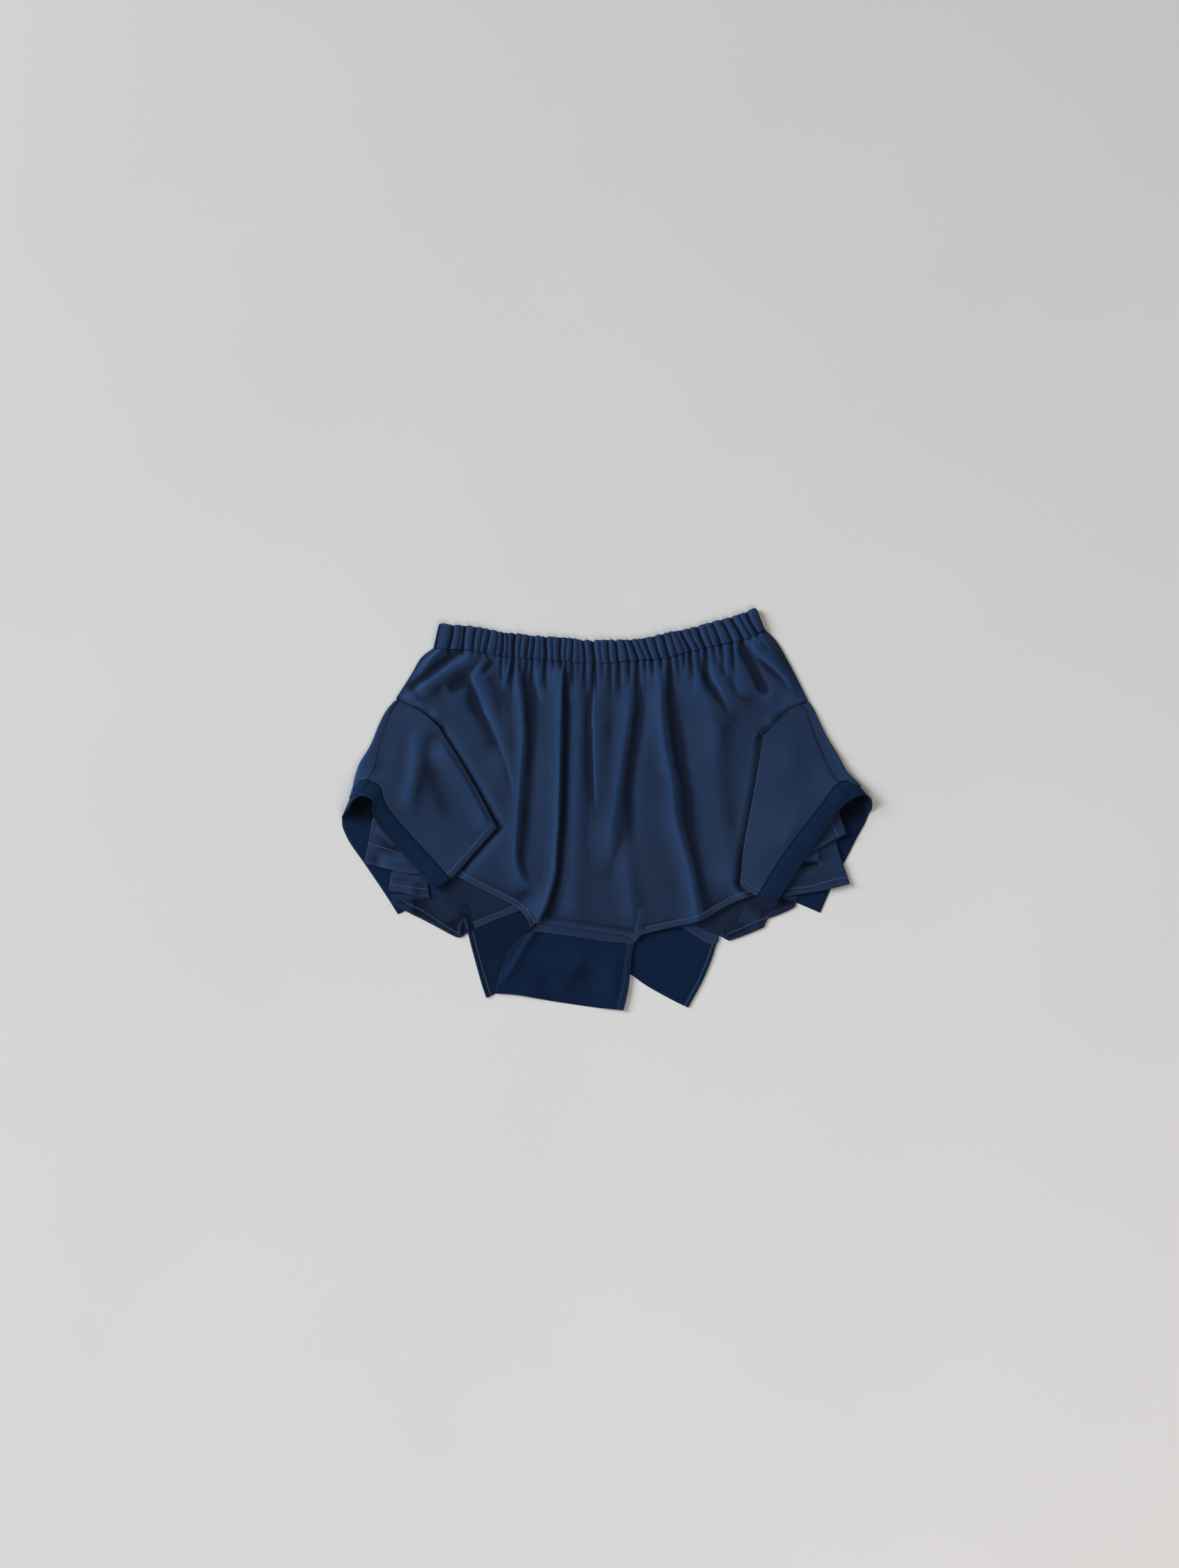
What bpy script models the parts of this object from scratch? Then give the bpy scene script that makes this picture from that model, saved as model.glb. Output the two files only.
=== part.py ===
"""A mini skirt made over from a pique polo shirt, laid flat on its back panel.

The shirt is turned upside down: its hem became a gathered elastic waistband, the sleeves hang at
the hips, and the cut collar lies at the bottom. Every cloth piece is an open grid on its outer
face, thickened inwards. Tables are in millimetres: x to the right, y towards the waistband, z up
from the surface that the skirt lies on. A run of (x, y) rows is one cut or folded edge, and a
height table has a row for each fold.
"""
import math
from collections import namedtuple

import bpy
import bmesh
from mathutils import Vector

MM = 0.001
MIDDLE = Vector((0.6, -0.25, 0))    # middle of the outline in the tables' frame, brought to the origin

# Driving sizes, mm
PANEL_WALL = 1.2        # pique, one layer
RIB_WALL = 1.3          # knitted collar and cuffs
CASING_WALL = 1.8       # waistband cloth with the elastic in it
GAP = 0.3               # between pieces that touch or meet at a seam
CASING_HEIGHT = 5.6     # flattened waistband, floor to top
PANEL_TOP = 2 * PANEL_WALL + GAP
RELIEF = 1.3            # how far the front panel's slack lifts it
TURN_RADIUS = 1.4       # outer radius where a shoulder part is folded back on itself
SLEEVE_TURN = 1.9       # outer radius where a sleeve is folded under
SLEEVE_EDGE = 7.6       # top of a sleeve's folded edge over the front panel
SLEEVE_HEM = 4.0        # how far the folded edge runs back under the sleeve
SLEEVE_ROWS = 14
GATHER_DEPTH = 2.2
SCALLOP = 0.9           # how far the band's upper edge dips at a gather
GATHER_FADE = 32.0      # length over which a gather runs out into the panel
GATHER_WIDTH = 2.4      # half width of the valley between two gathers
BAND_CREST = 1.2        # how far a gather's crest stands over the flattened band
BAND_BELLY = 0.5        # further rise along the middle of the band
FOLD_LEAD, FOLD_RUN_OUT = 12.0, 25.0    # length over which a fold starts and runs out
SEAM_LIFT = 1.0         # rise of the front panel where it meets a sleeve's thick corner
SEAM_CORNERS = [(-196.0, 106.0), (184.0, 97.0)]
LOOP_RISE = 3.0         # height of the small loop in the back hem
SLEEVE_BELLY = 1.6      # slack of a sleeve between its seams
CUFF_CROWN = 0.5        # how far a cuff's middle line stands over its two edges
CURL_RISE = 3.2         # height of the centre collar's curling left edge

# Waistband
BAND_TOP = [(-190.5, 206.8), (-176.4, 208.3), (-158.8, 207.2), (-131.6, 202.9), (-99.6, 198.4),
            (-67.6, 194.9), (-29, 191.2), (0, 191.0), (28.8, 191.7), (64, 198.4), (89.6, 203.2),
            (123, 212.5), (152, 220.8), (169.4, 226.2)]
BAND_SEAM = [(-195.4, 181.6), (-181, 180.8), (-154, 179.2), (-122, 173.6), (-90, 170.4), (-58, 168),
             (-26, 164.8), (-2, 164.6), (24, 167.2), (64, 170.4), (89.6, 176.8), (128, 185.6),
             (156.8, 192), (178.3, 203.2)]
GATHERS = [-177, -167, -158, -150, -142, -135, -125, -118, -112, -104, -97, -89, -83, -75, -68, -60,
           -51, -45, -38, -31, -24, -13, -5, 3, 12, 22, 31, 39, 47, 57, 67, 75, 83, 90, 99, 108, 116,
           125, 137, 149, 158, 166]

# Front panel edges
LEFT_SIDE = [(-195.6, 181.2), (-209, 170.4), (-221, 150.4), (-237.2, 125)]
LEFT_ARMHOLE = [(-237.2, 125), (-230.8, 120.8), (-218, 115.2), (-202, 105.6), (-190, 93.6)]
LEFT_HIDDEN = [(-190, 93.6), (-184, 60), (-184, 0), (-184, -66)]
RIGHT_SIDE = [(178.2, 202.6), (192, 188), (208, 160), (227, 122.4)]
RIGHT_ARMHOLE = [(227, 122.4), (218.4, 118.6), (206.4, 112.8), (192, 99.2), (177.2, 83)]
RIGHT_HIDDEN = [(177.2, 83), (176, 40), (176, -20), (173, -96)]
FRONT_HEM = [(-184, -66), (-170, -74), (-145.3, -87.3), (-126.7, -96.7), (-113.3, -103.3),
             (-102.7, -109.3), (-94.7, -116), (-88.6, -128), (-85, -134.5), (-79.5, -128.6),
             (-49.6, -131.9), (-24, -135.6), (0, -139.6), (24, -142.8), (33.5, -149.5), (38.7, -142),
             (60, -136), (86.7, -130), (110.7, -123.3), (120, -118), (133.3, -110), (146.7, -103.3),
             (173, -96)]

# Back panel edges
BACK_LEFT_HIDDEN = [(-219, 92), (-212, 40), (-211, -20), (-222, -66), (-242, -105.7)]
BACK_LEFT_ARMHOLE = [(-237.2, 125), (-226, 110), (-219, 92)]
BACK_RIGHT_ARMHOLE = [(227, 122.4), (213, 112), (209, 92)]
BACK_RIGHT_HIDDEN = [(209, 92), (208, 40), (208, -20), (211, -70), (212.3, -110.3)]
BACK_HEM = [(-242, -105.7), (-225, -115.4), (-207.9, -124), (-190.7, -133.1), (-177, -140.6),
            (-168, -144.6), (-159.9, -141.5), (-155.5, -138), (-151, -126.6), (-126.7, -116.9),
            (-109, -109.6), (-80, -90), (-45, -76), (0, -70), (40, -78), (75, -102), (98.6, -127),
            (110.4, -136.1), (127.2, -142.6), (138, -148.4), (152, -143.6), (168, -137.2),
            (177.6, -133.2), (182, -123.5), (201.4, -116), (212.3, -110.3)]
WIDE_STEP = 0.045       # share of the back hem past which a step between its rows is halved
BACK_ROWS = (0, 0.25, 0.5, 0.68, 0.84, 0.92, 1)
HEM_LOOP = (-162.0, -132.0)     # a small loop of the back hem that stands up beside the left leaf

# Sleeves
LEFT_FOLD = [(-190.6, 92.8), (-184, 82), (-174.6, 68), (-157.3, 40.7), (-138.7, 8.7), (-123.3, -20.7)]
LEFT_SLIT = [(-123.3, -20.7), (-148, -48.7), (-169.3, -72.7), (-175.3, -78)]
RIGHT_FOLD = [(176.8, 82.4), (172.7, 56.7), (164, 7.3), (154.7, -43.3), (150.7, -83.3)]
RIGHT_SLIT = [(150.7, -83.3), (153.3, -88), (162, -93.5), (170, -97.6)]

# A sleeve's back half, from the underarm down: one row for each cross section. The floor layer runs
# from the inner edge to the outline, rolls over it and ends on top at the underarm seam.
BackStation = namedtuple("BackStation", "inner_x inner_y outline_x outline_y seam_x seam_y seam_z bulge")
LEFT_BACK = [
    BackStation(-231.5, 108.5, -239.2, 122.4, -236.2, 121.8, 2.7, 0),
    BackStation(-226.5, 98.0, -250.5, 110.0, -243.6, 110.0, 3.2, 0),
    BackStation(-222.2, 90.0, -255.8, 93.5, -250.0, 91.0, 3.8, 0),
    BackStation(-217.5, 66.0, -266.5, 72.0, -255.8, 72.0, 4.8, 0),
    BackStation(-214.5, 44.0, -278.0, 53.0, -259.8, 51.0, 7.0, 0),
    BackStation(-213.5, 10.0, -283.4, 38.0, -264.0, 40.8, 9.6, 0),
    BackStation(-220.0, -24.0, -286.4, 24.6, -265.8, 38.2, 11.2, 1.2),
    BackStation(-253.5, -48.6, -290.2, 12.4, -268.4, 33.8, 12.2, 5.7),
]
RIGHT_BACK = [
    BackStation(222.6, 106.5, 227.2, 120.6, 219.8, 117.8, 2.7, 0),
    BackStation(217.0, 97.0, 235.0, 110.4, 226.0, 109.6, 3.2, 0),
    BackStation(214.4, 88.0, 240.8, 97.6, 230.4, 96.0, 3.8, 0),
    BackStation(212.2, 64.0, 250.4, 78.4, 236.8, 78.4, 4.8, 0),
    BackStation(210.8, 42.0, 260.8, 61.6, 244.8, 60.0, 6.2, 0),
    BackStation(210.6, 10.0, 272.0, 41.0, 251.8, 44.0, 9.0, 0),
    BackStation(216.0, -24.0, 280.4, 33.0, 257.2, 36.0, 11.0, 1.2),
    BackStation(240.6, -58.0, 286.9, 26.4, 261.6, 31.4, 12.6, 3.4),
]

# A cuff is one band in the shape of a U: a strand on the floor, a standing fold at the outline and
# a strand on top. One row for each cross line, from the free edge to the edge sewn to the sleeve.
CuffStation = namedtuple("CuffStation", "free_x free_y free_z sewn_x sewn_y sewn_z")
LEFT_CUFF = [
    CuffStation(-235.3, -118.1, 0, -224.6, -113.2, 0),
    CuffStation(-250.0, -94.9, 0, -239.0, -88.6, 0),
    CuffStation(-273.0, -61.1, 0, -254.0, -50.0, 0),
    CuffStation(-289.0, -38.3, 0, -266.2, -25.2, 0),
    CuffStation(-295.5, -22.3, 0, -273.2, -9.4, 0),
    CuffStation(-296.0, -14.5, 0, -280.2, 2.4, 0),
    CuffStation(-298.2, -11.4, 2.6, -288.6, 8.2, 2.2),
    CuffStation(-298.2, -9.0, 6.0, -289.0, 11.2, 5.0),
    CuffStation(-295.6, -4.4, 9.6, -286.7, 16.6, 8.2),
    CuffStation(-291.0, 1.0, 12.6, -283.2, 22.8, 10.2),
    CuffStation(-285.6, 9.6, 14.6, -278.6, 28.0, 11.8),
    CuffStation(-276.4, 15.0, 15.6, -270.4, 31.0, 12.9),
    CuffStation(-269.6, 14.4, 15.6, -265.6, 31.9, 13.2),
    CuffStation(-264.0, 11.0, 14.8, -259.6, 29.6, 13.0),
    CuffStation(-261.8, 4.6, 13.4, -253.8, 23.6, 12.0),
    CuffStation(-262.3, -4.0, 11.6, -250.3, 11.6, 11.0),
    CuffStation(-257.0, -17.7, 10.4, -242.5, -3.0, 9.9),
    CuffStation(-241.0, -37.1, 9.7, -224.0, -24.8, 9.3),
    CuffStation(-218.0, -63.4, 9.7, -199.9, -50.9, 8.9),
    CuffStation(-205.6, -77.1, 9.5, -187.3, -65.1, 8.5),
    CuffStation(-193.3, -91.0, 7.2, -175.3, -78.2, 7.2),
]
RIGHT_CUFF = [
    CuffStation(240.9, -116.6, 0, 216.2, -105.9, 0),
    CuffStation(252.3, -90.9, 0, 230.0, -80.0, 0),
    CuffStation(267.5, -61.1, 0, 247.0, -50.0, 0),
    CuffStation(281.4, -33.7, 0, 258.6, -21.0, 0),
    CuffStation(290.6, -17.0, 0, 267.8, -2.6, 0),
    CuffStation(295.6, -5.4, 0, 275.8, 14.0, 0),
    CuffStation(299.4, 1.0, 2.6, 285.6, 21.6, 2.2),
    CuffStation(299.3, 7.4, 6.2, 285.0, 24.6, 5.4),
    CuffStation(297.2, 12.6, 9.8, 281.6, 27.4, 8.6),
    CuffStation(291.4, 16.0, 12.8, 276.4, 28.8, 10.8),
    CuffStation(284.0, 15.8, 14.4, 270.0, 29.2, 12.2),
    CuffStation(274.6, 11.0, 15.0, 262.0, 28.9, 12.8),
    CuffStation(266.6, 5.1, 14.2, 254.6, 24.4, 12.4),
    CuffStation(258.6, -6.3, 12.6, 244.9, 9.7, 11.4),
    CuffStation(249.4, -18.9, 11.4, 236.9, -0.6, 10.6),
    CuffStation(241.0, -30.4, 10.9, 226.0, -14.6, 10.0),
    CuffStation(232.3, -41.7, 10.6, 215.0, -28.4, 9.6),
    CuffStation(218.6, -62.3, 9.9, 200.3, -48.6, 9.1),
    CuffStation(203.6, -86.6, 8.6, 184.0, -73.6, 8.2),
    CuffStation(191.1, -105.1, 7.2, 170.2, -97.4, 7.2),
]

# Collar and neck
COLLAR_TOP = [(-82.6, -137.4), (-49.6, -141.8), (-24, -145.5), (0, -149.0), (31.2, -151.9)]
COLLAR_FREE = [(-125.7, -207.6), (-99.4, -209.6), (-60.8, -216.4), (-17.6, -222.8), (18.9, -226.7)]
COLLAR_LEFT = [(-82.6, -137.4), (-103.9, -152.2), (-116.3, -175.3), (-125.7, -207.6)]
COLLAR_RIGHT = [(31.2, -151.9), (28, -170), (24.8, -200.4), (18.9, -226.7)]
STRIP_UPPER = [(-78.8, -129.2), (-49.6, -132.2), (-24, -135.9), (0, -139.9), (32.2, -144.2)]
STRIP_LOWER = [(-82.2, -137.0), (-49.6, -141.5), (-24, -145.2), (0, -148.7), (31.2, -151.5)]
LEAF_L_TOP = [(-155.9, -140.2), (-147.3, -135.6), (-126.7, -126.2), (-97.3, -114.9), (-76, -105.2)]
LEAF_L_FREE = [(-135.4, -212.7), (-131.4, -210.9), (-123, -206.8), (-112, -204), (-99, -204)]
LEAF_L_OUT = [(-155.9, -140.2), (-149.2, -166.4), (-144.8, -182.4), (-135.4, -212.7)]
LEAF_L_IN = [(-76, -105.2), (-80, -140), (-88, -170), (-99, -204)]
LEAF_R_TOP = [(10, -122), (60, -125.4), (82.4, -132.2), (112, -151.4), (123.4, -153.6)]
LEAF_R_FREE = [(6, -175), (26.4, -185.7), (46.4, -199.6), (76.8, -216.4), (92, -223.6)]
LEAF_R_OUT = [(123.4, -153.6), (117, -173), (107.2, -195.6), (92, -223.6)]
LEAF_R_IN = [(10, -122), (9, -140), (8, -158), (6, -175)]
TAPE_L_UPPER = [(-150.7, -126.9), (-126.7, -117.2), (-109, -109.9), (-84, -93.0)]
TAPE_L_LOWER = [(-147.6, -134.8), (-126.7, -125.3), (-97.3, -114), (-77, -103.8)]
TAPE_R_UPPER = [(72, -101.4), (98.2, -127.3), (110, -136.4), (127.0, -142.9)]
TAPE_R_LOWER = [(64, -124.6), (82.4, -131.0), (112, -149.9), (124, -152.0)]

# Shoulder parts of the panels, folded under the cuffs. The fold edge faces the sleeve's opening.
FlapEdges = namedtuple("FlapEdges", "name hidden_top fold_edge hem hidden_end top_height bottom_height")
FLAPS = [
    FlapEdges("shoulder_fold_left_upper", [(-246, 1), (-255, -4), (-263.9, -10.9)],
              [(-263.9, -10.9), (-268.4, -37.1), (-273, -60)],
              [(-197, -72), (-225, -72), (-241, -68.6), (-259.3, -64), (-273, -60)],
              [(-246, 1), (-226, -28), (-197, -72)], 4.7, 7.8),
    FlapEdges("shoulder_fold_left_lower", [(-204, -58), (-222, -60), (-241.5, -61.5)],
              [(-241.5, -61.5), (-243.4, -76), (-245.6, -91.4)],
              [(-199.9, -100), (-215, -97.2), (-230.7, -93.7), (-245.6, -91.4)],
              [(-204, -58), (-202, -80), (-199.9, -100)], 4.5, 4.5),
    FlapEdges("shoulder_fold_right_upper", [(245, -3), (252, -3), (261.4, -4)],
              [(261.4, -4), (265.4, -13), (270.6, -28)],
              [(214, -60), (226, -50), (236.9, -44.6), (263, -30.9), (270.6, -28)],
              [(245, -3), (229, -28), (214, -60)], 7.4, 7.4),
    FlapEdges("shoulder_fold_right_lower", [(238, -22), (248, -28), (257.8, -32)],
              [(257.8, -32), (264.3, -54.3), (274.6, -84)],
              [(198, -98.3), (214, -96.2), (230, -93.7), (252.9, -89.7), (274.6, -84)],
              [(238, -22), (214, -64), (198, -98.3)], 4.4, 4.4),
]

# Folds of the front panel, one row each. The crest's x is given at four equal steps from y_top down
# to y_low; the flanks are how wide the fold falls away on either side; rise is its height.
Fold = namedtuple("Fold", "y_top y_low x_0 x_1 x_2 x_3 flank_left flank_right rise")
FRONT_FOLDS = [
    Fold(172, -134, -60, -60, -64, -86, 17, 7, 6.6),
    Fold(170, -95, -106, -111, -102, -93, 12, 9, 4.4),
    Fold(160, 40, -146, -130, -120, -112, 10, 9, 3.0),
    Fold(178, 140, -178, -190, -206, -222, 8, 7, 3.0),
    Fold(176, 124, -158, -176, -196, -212, 8, 8, 3.2),
    Fold(174, 104, -134, -143, -155, -168, 9, 8, 2.8),
    Fold(168, -75, -33, -33, -36, -39, 10, 9, 2.2),
    Fold(168, -60, -5, -5, -3, 2, 8, 16, 4.6),
    Fold(170, -112, 50, 53, 64, 90, 8, 14, 4.6),
    Fold(172, 30, 73, 76, 80, 92, 7, 8, 2.2),
    Fold(172, 0, 100, 106, 110, 114, 9, 22, 2.8),
    Fold(184, 96, 112, 120, 130, 144, 6, 8, 3.4),
    Fold(190, 134, 140, 149, 160, 174, 5, 7, 2.4),
    Fold(198, 130, 160, 177, 194, 210, 9, 9, 3.6),
    Fold(-40, -150, 20, 23, 26, 33, 9, 9, 1.8),
    Fold(30, -95, 118, 128, 134, 138, 16, 18, 1.6),
]
QUIET_ZONES = [(-190.0, 60.0, 62.0), (-170.0, -8.0, 60.0), (-180.0, -60.0, 52.0), (196.0, 40.0, 40.0),
               (184.0, -40.0, 40.0), (172.0, -95.0, 34.0)]     # x, y, radius: flat under a sleeve


def smooth(value):
    """Ease from 0 to 1 for a value that runs from 0 to 1."""
    value = max(0.0, min(1.0, value))
    return value * value * (3 - 2 * value)


def along(path, fraction):
    """Point at a fraction of a path's length, on a smooth curve through its rows."""
    points = [Vector(row) for row in path]
    lengths = [0.0]
    for one, two in zip(points, points[1:]):
        lengths.append(lengths[-1] + (two - one).length)
    target = fraction * lengths[-1]
    index = 0
    while index < len(points) - 2 and lengths[index + 1] < target:
        index += 1
    one, two = points[index], points[index + 1]
    before = points[index - 1] if index else one * 2 - two
    after = points[index + 2] if index + 2 < len(points) else two * 2 - one
    t = (target - lengths[index]) / (lengths[index + 1] - lengths[index])
    return 0.5 * (2 * one + (two - before) * t + (2 * before - 5 * one + 4 * two - after) * t ** 2
                  + (3 * one - before - 3 * two + after) * t ** 3)


def spread(path, count):
    """A path sampled at count equal steps."""
    return [along(path, step / count) for step in range(count + 1)]


def straight(path, count):
    """A path of straight stretches sampled at count equal steps of each stretch's share."""
    result = []
    for step in range(count + 1):
        place = step / count * (len(path) - 1)
        index = min(int(place), len(path) - 2)
        result.append(Vector(path[index]).lerp(Vector(path[index + 1]), place - index))
    return result


def at(path, fractions):
    """A path sampled at given fractions of its length."""
    return [along(path, fraction) for fraction in fractions]


def row_fractions(path):
    """The fraction of a path's length at each of its rows."""
    points = [Vector(row) for row in path]
    lengths = [0.0]
    for one, two in zip(points, points[1:]):
        lengths.append(lengths[-1] + (two - one).length)
    return [length / lengths[-1] for length in lengths]


def patch(top, bottom, left, right):
    """Rows of points between four edges: left and right run from the top edge to the bottom one."""
    rows = []
    across, down = len(top) - 1, len(left) - 1
    for j in range(down + 1):
        v = row_share(left, right, j)
        row = []
        for i in range(across + 1):
            u = row_share(top, bottom, i)
            ruled = top[i] * (1 - v) + bottom[i] * v + left[j] * (1 - u) + right[j] * u
            corners = (top[0] * (1 - u) + top[-1] * u) * (1 - v) + (bottom[0] * (1 - u) + bottom[-1] * u) * v
            row.append(ruled - corners)
        rows.append(row)
    return rows


def row_share(one, two, index):
    """How far along two facing edges a sample lies, as the mean of their length shares."""
    shares = []
    for edge in (one, two):
        lengths = [0.0]
        for first, second in zip(edge, edge[1:]):
            lengths.append(lengths[-1] + (second - first).length)
        shares.append(lengths[index] / lengths[-1])
    return sum(shares) / 2


def raised(rows, height):
    """Rows of flat points given a height that depends on their place."""
    return [[Vector((point.x, point.y, height(point.x, point.y))) for point in row] for row in rows]


def turned_under(rows, radius, steps, back=0, reach=0.0):
    """Fold each row's last stretch under itself with an arc at the edge.

    The layer below runs back under the row's own points, back of them, or straight in by reach.
    """
    result = []
    middle = len(rows) // 2
    run = rows[middle + 1][-1] - rows[middle - 1][-1]
    side = math.copysign(1, Vector((run.y, -run.x, 0)).dot(rows[middle][-1] - rows[middle][0]))
    for j, row in enumerate(rows):
        run = rows[min(j + 1, len(rows) - 1)][-1] - rows[max(j - 1, 0)][-1]
        out = Vector((run.y, -run.x, 0)).normalized() * side
        if j in (0, len(rows) - 1):
            level = Vector((row[-1].x - row[-2].x, row[-1].y - row[-2].y, 0)).normalized()
            out = (out + level * 2).normalized()
        start = row[-1] - out * radius
        arc = [start + out * radius * math.sin(math.pi * step / steps)
               + Vector((0, 0, radius * (math.cos(math.pi * step / steps) - 1))) for step in range(steps + 1)]
        drop = Vector((0, 0, 2 * radius))
        under = [point - drop for point in row[-2:-2 - back:-1]] if back else [start - drop - out * reach]
        result.append(row[:-1] + arc + under)
    return result


def cloth(name, rows, wall, material, outward=-1.0, at_row=None):
    """Make a piece from rows of points on its outer face, thickened inwards by its wall.

    outward is the z sign of the outer face at the middle of the row numbered at_row, column 0.
    """
    down, across = len(rows) - 1, len(rows[0]) - 1
    mesh = bpy.data.meshes.new(name)
    grid = bmesh.new()
    bmesh.ops.create_grid(grid, x_segments=across, y_segments=down, size=1)
    grid.verts.ensure_lookup_table()
    for index, vert in enumerate(grid.verts):
        vert.co = (rows[index // (across + 1)][index % (across + 1)] - MIDDLE) * MM
    bmesh.ops.remove_doubles(grid, verts=grid.verts[:], dist=0.02 * MM)
    grid.normal_update()
    near = (rows[down // 2 if at_row is None else at_row][0] - MIDDLE) * MM
    face = min(grid.faces, key=lambda each: (each.calc_center_median() - near).length)
    if face.normal.z * outward < 0:
        bmesh.ops.reverse_faces(grid, faces=grid.faces[:])
    grid.to_mesh(mesh)
    grid.free()
    piece = bpy.data.objects.new(name, mesh)
    COLLECTION.objects.link(piece)
    mesh.materials.append(material)
    mesh.shade_smooth()
    shell = piece.modifiers.new("Wall", "SOLIDIFY")
    shell.thickness = wall * MM
    shell.offset = -1
    shell.use_even_offset = False
    shell.use_quality_normals = True
    return piece


def finish(name, colour, roughness):
    """A cloth material."""
    material = bpy.data.materials.new(name)
    material.use_nodes = True
    shader = material.node_tree.nodes["Principled BSDF"]
    shader.inputs["Base Color"].default_value = (*colour, 1)
    shader.inputs["Roughness"].default_value = roughness
    return material


def gather_wave(x):
    """How deep the cloth sinks between two crests of the gathers, 0 to 1."""
    return max(math.exp(-((x - place) / GATHER_WIDTH) ** 2) for place in GATHERS)


def band_fractions():
    """Fractions along the waistband at each gather and halfway between them."""
    left, right = BAND_SEAM[0][0], BAND_SEAM[-1][0]
    marks = [left, left + 9] + GATHERS + [right]
    places = [left]
    for one, two in zip(marks, marks[1:]):
        places += [(one + two) / 2, two]
    return [(place - left) / (right - left) for place in places]


def across_band(path, fraction):
    """Point on a waistband edge at a share of its width in x."""
    left, right = path[0][0], path[-1][0]
    x = left + (right - left) * fraction
    for index, (one, two) in enumerate(zip(path, path[1:])):
        if x <= two[0] or index == len(path) - 2:
            share = (x - one[0]) / (two[0] - one[0])
            before = path[index - 1] if index else (2 * one[0] - two[0], 2 * one[1] - two[1])
            after = path[index + 2] if index + 2 < len(path) else (2 * two[0] - one[0], 2 * two[1] - one[1])
            slope_one = (two[1] - before[1]) / (two[0] - before[0]) * (two[0] - one[0])
            slope_two = (after[1] - one[1]) / (after[0] - one[0]) * (two[0] - one[0])
            t = share
            y = ((2 * t ** 3 - 3 * t ** 2 + 1) * one[1] + (t ** 3 - 2 * t ** 2 + t) * slope_one
                 + (3 * t ** 2 - 2 * t ** 3) * two[1] + (t ** 3 - t ** 2) * slope_two)
            return Vector((x, y, 0))


def waistband(material):
    """The gathered casing: a ring that lies flat, one wall on the floor and one on top."""
    radius = CASING_HEIGHT / 2
    fractions = band_fractions()
    rows = []
    for share in (0.0, 0.12, 0.5, 0.88, 1.0):
        front = []
        for fraction in fractions:
            low, high = across_band(BAND_SEAM, fraction), across_band(BAND_TOP, fraction)
            point = low.lerp(high, share)
            point.z = CASING_HEIGHT
            place = BAND_SEAM[0][0] + (BAND_SEAM[-1][0] - BAND_SEAM[0][0]) * fraction
            inside = smooth(fraction * 40) * smooth((1 - fraction) * 40)
            wave = gather_wave(place)
            point.z += inside * (BAND_CREST - GATHER_DEPTH * wave + BAND_BELLY * math.sin(math.pi * share))
            point.y -= SCALLOP * wave * share
            front.append(point)
        flat = [Vector((point.x, point.y, 0)) for point in front[::-2]]
        ends = []
        for edge, inner in ((front[-1], front[-2]), (front[0], front[1])):
            out = Vector((edge.x - inner.x, edge.y - inner.y, 0)).normalized()
            arc = [edge - out * radius * (1 - math.sin(math.pi * step / 6))
                   + Vector((0, 0, radius * (math.cos(math.pi * step / 6) - 1))) for step in range(7)]
            ends.append(arc)
        rows.append(front[1:-1] + ends[0] + flat[1:-1] + ends[1][::-1] + [front[1]])
    return cloth("waistband", rows, CASING_WALL, material, outward=1.0, at_row=2)


def fold_height(x, y):
    """Height that the front panel's folds add at a place."""
    total = 0.0
    for fold in FRONT_FOLDS:
        if fold.y_low - FOLD_RUN_OUT < y < fold.y_top + FOLD_LEAD:
            share = max(0.0, min(1.0, (fold.y_top - y) / (fold.y_top - fold.y_low)))
            step = min(2, int(share * 3))
            crests = (fold.x_0, fold.x_1, fold.x_2, fold.x_3)
            crest = crests[step] + (crests[step + 1] - crests[step]) * (share * 3 - step)
            flank = fold.flank_right if x > crest else fold.flank_left
            fade = (smooth((fold.y_top + FOLD_LEAD - y) / (2 * FOLD_LEAD))
                    * smooth((y - fold.y_low + FOLD_RUN_OUT) / (1.8 * FOLD_RUN_OUT)))
            total = max(total, fold.rise * fade * math.exp(-((x - crest) / flank) ** 2))
    return total


def quiet(x, y):
    """How far a place is from the flat zones under the sleeves: 0 inside, 1 clear of them."""
    share = 1.0
    for zone_x, zone_y, radius in QUIET_ZONES:
        distance = math.hypot(x - zone_x, (y - zone_y) * 0.8)
        share = min(share, smooth((distance - radius * 0.75) / (radius * 0.5)))
    return share


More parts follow.
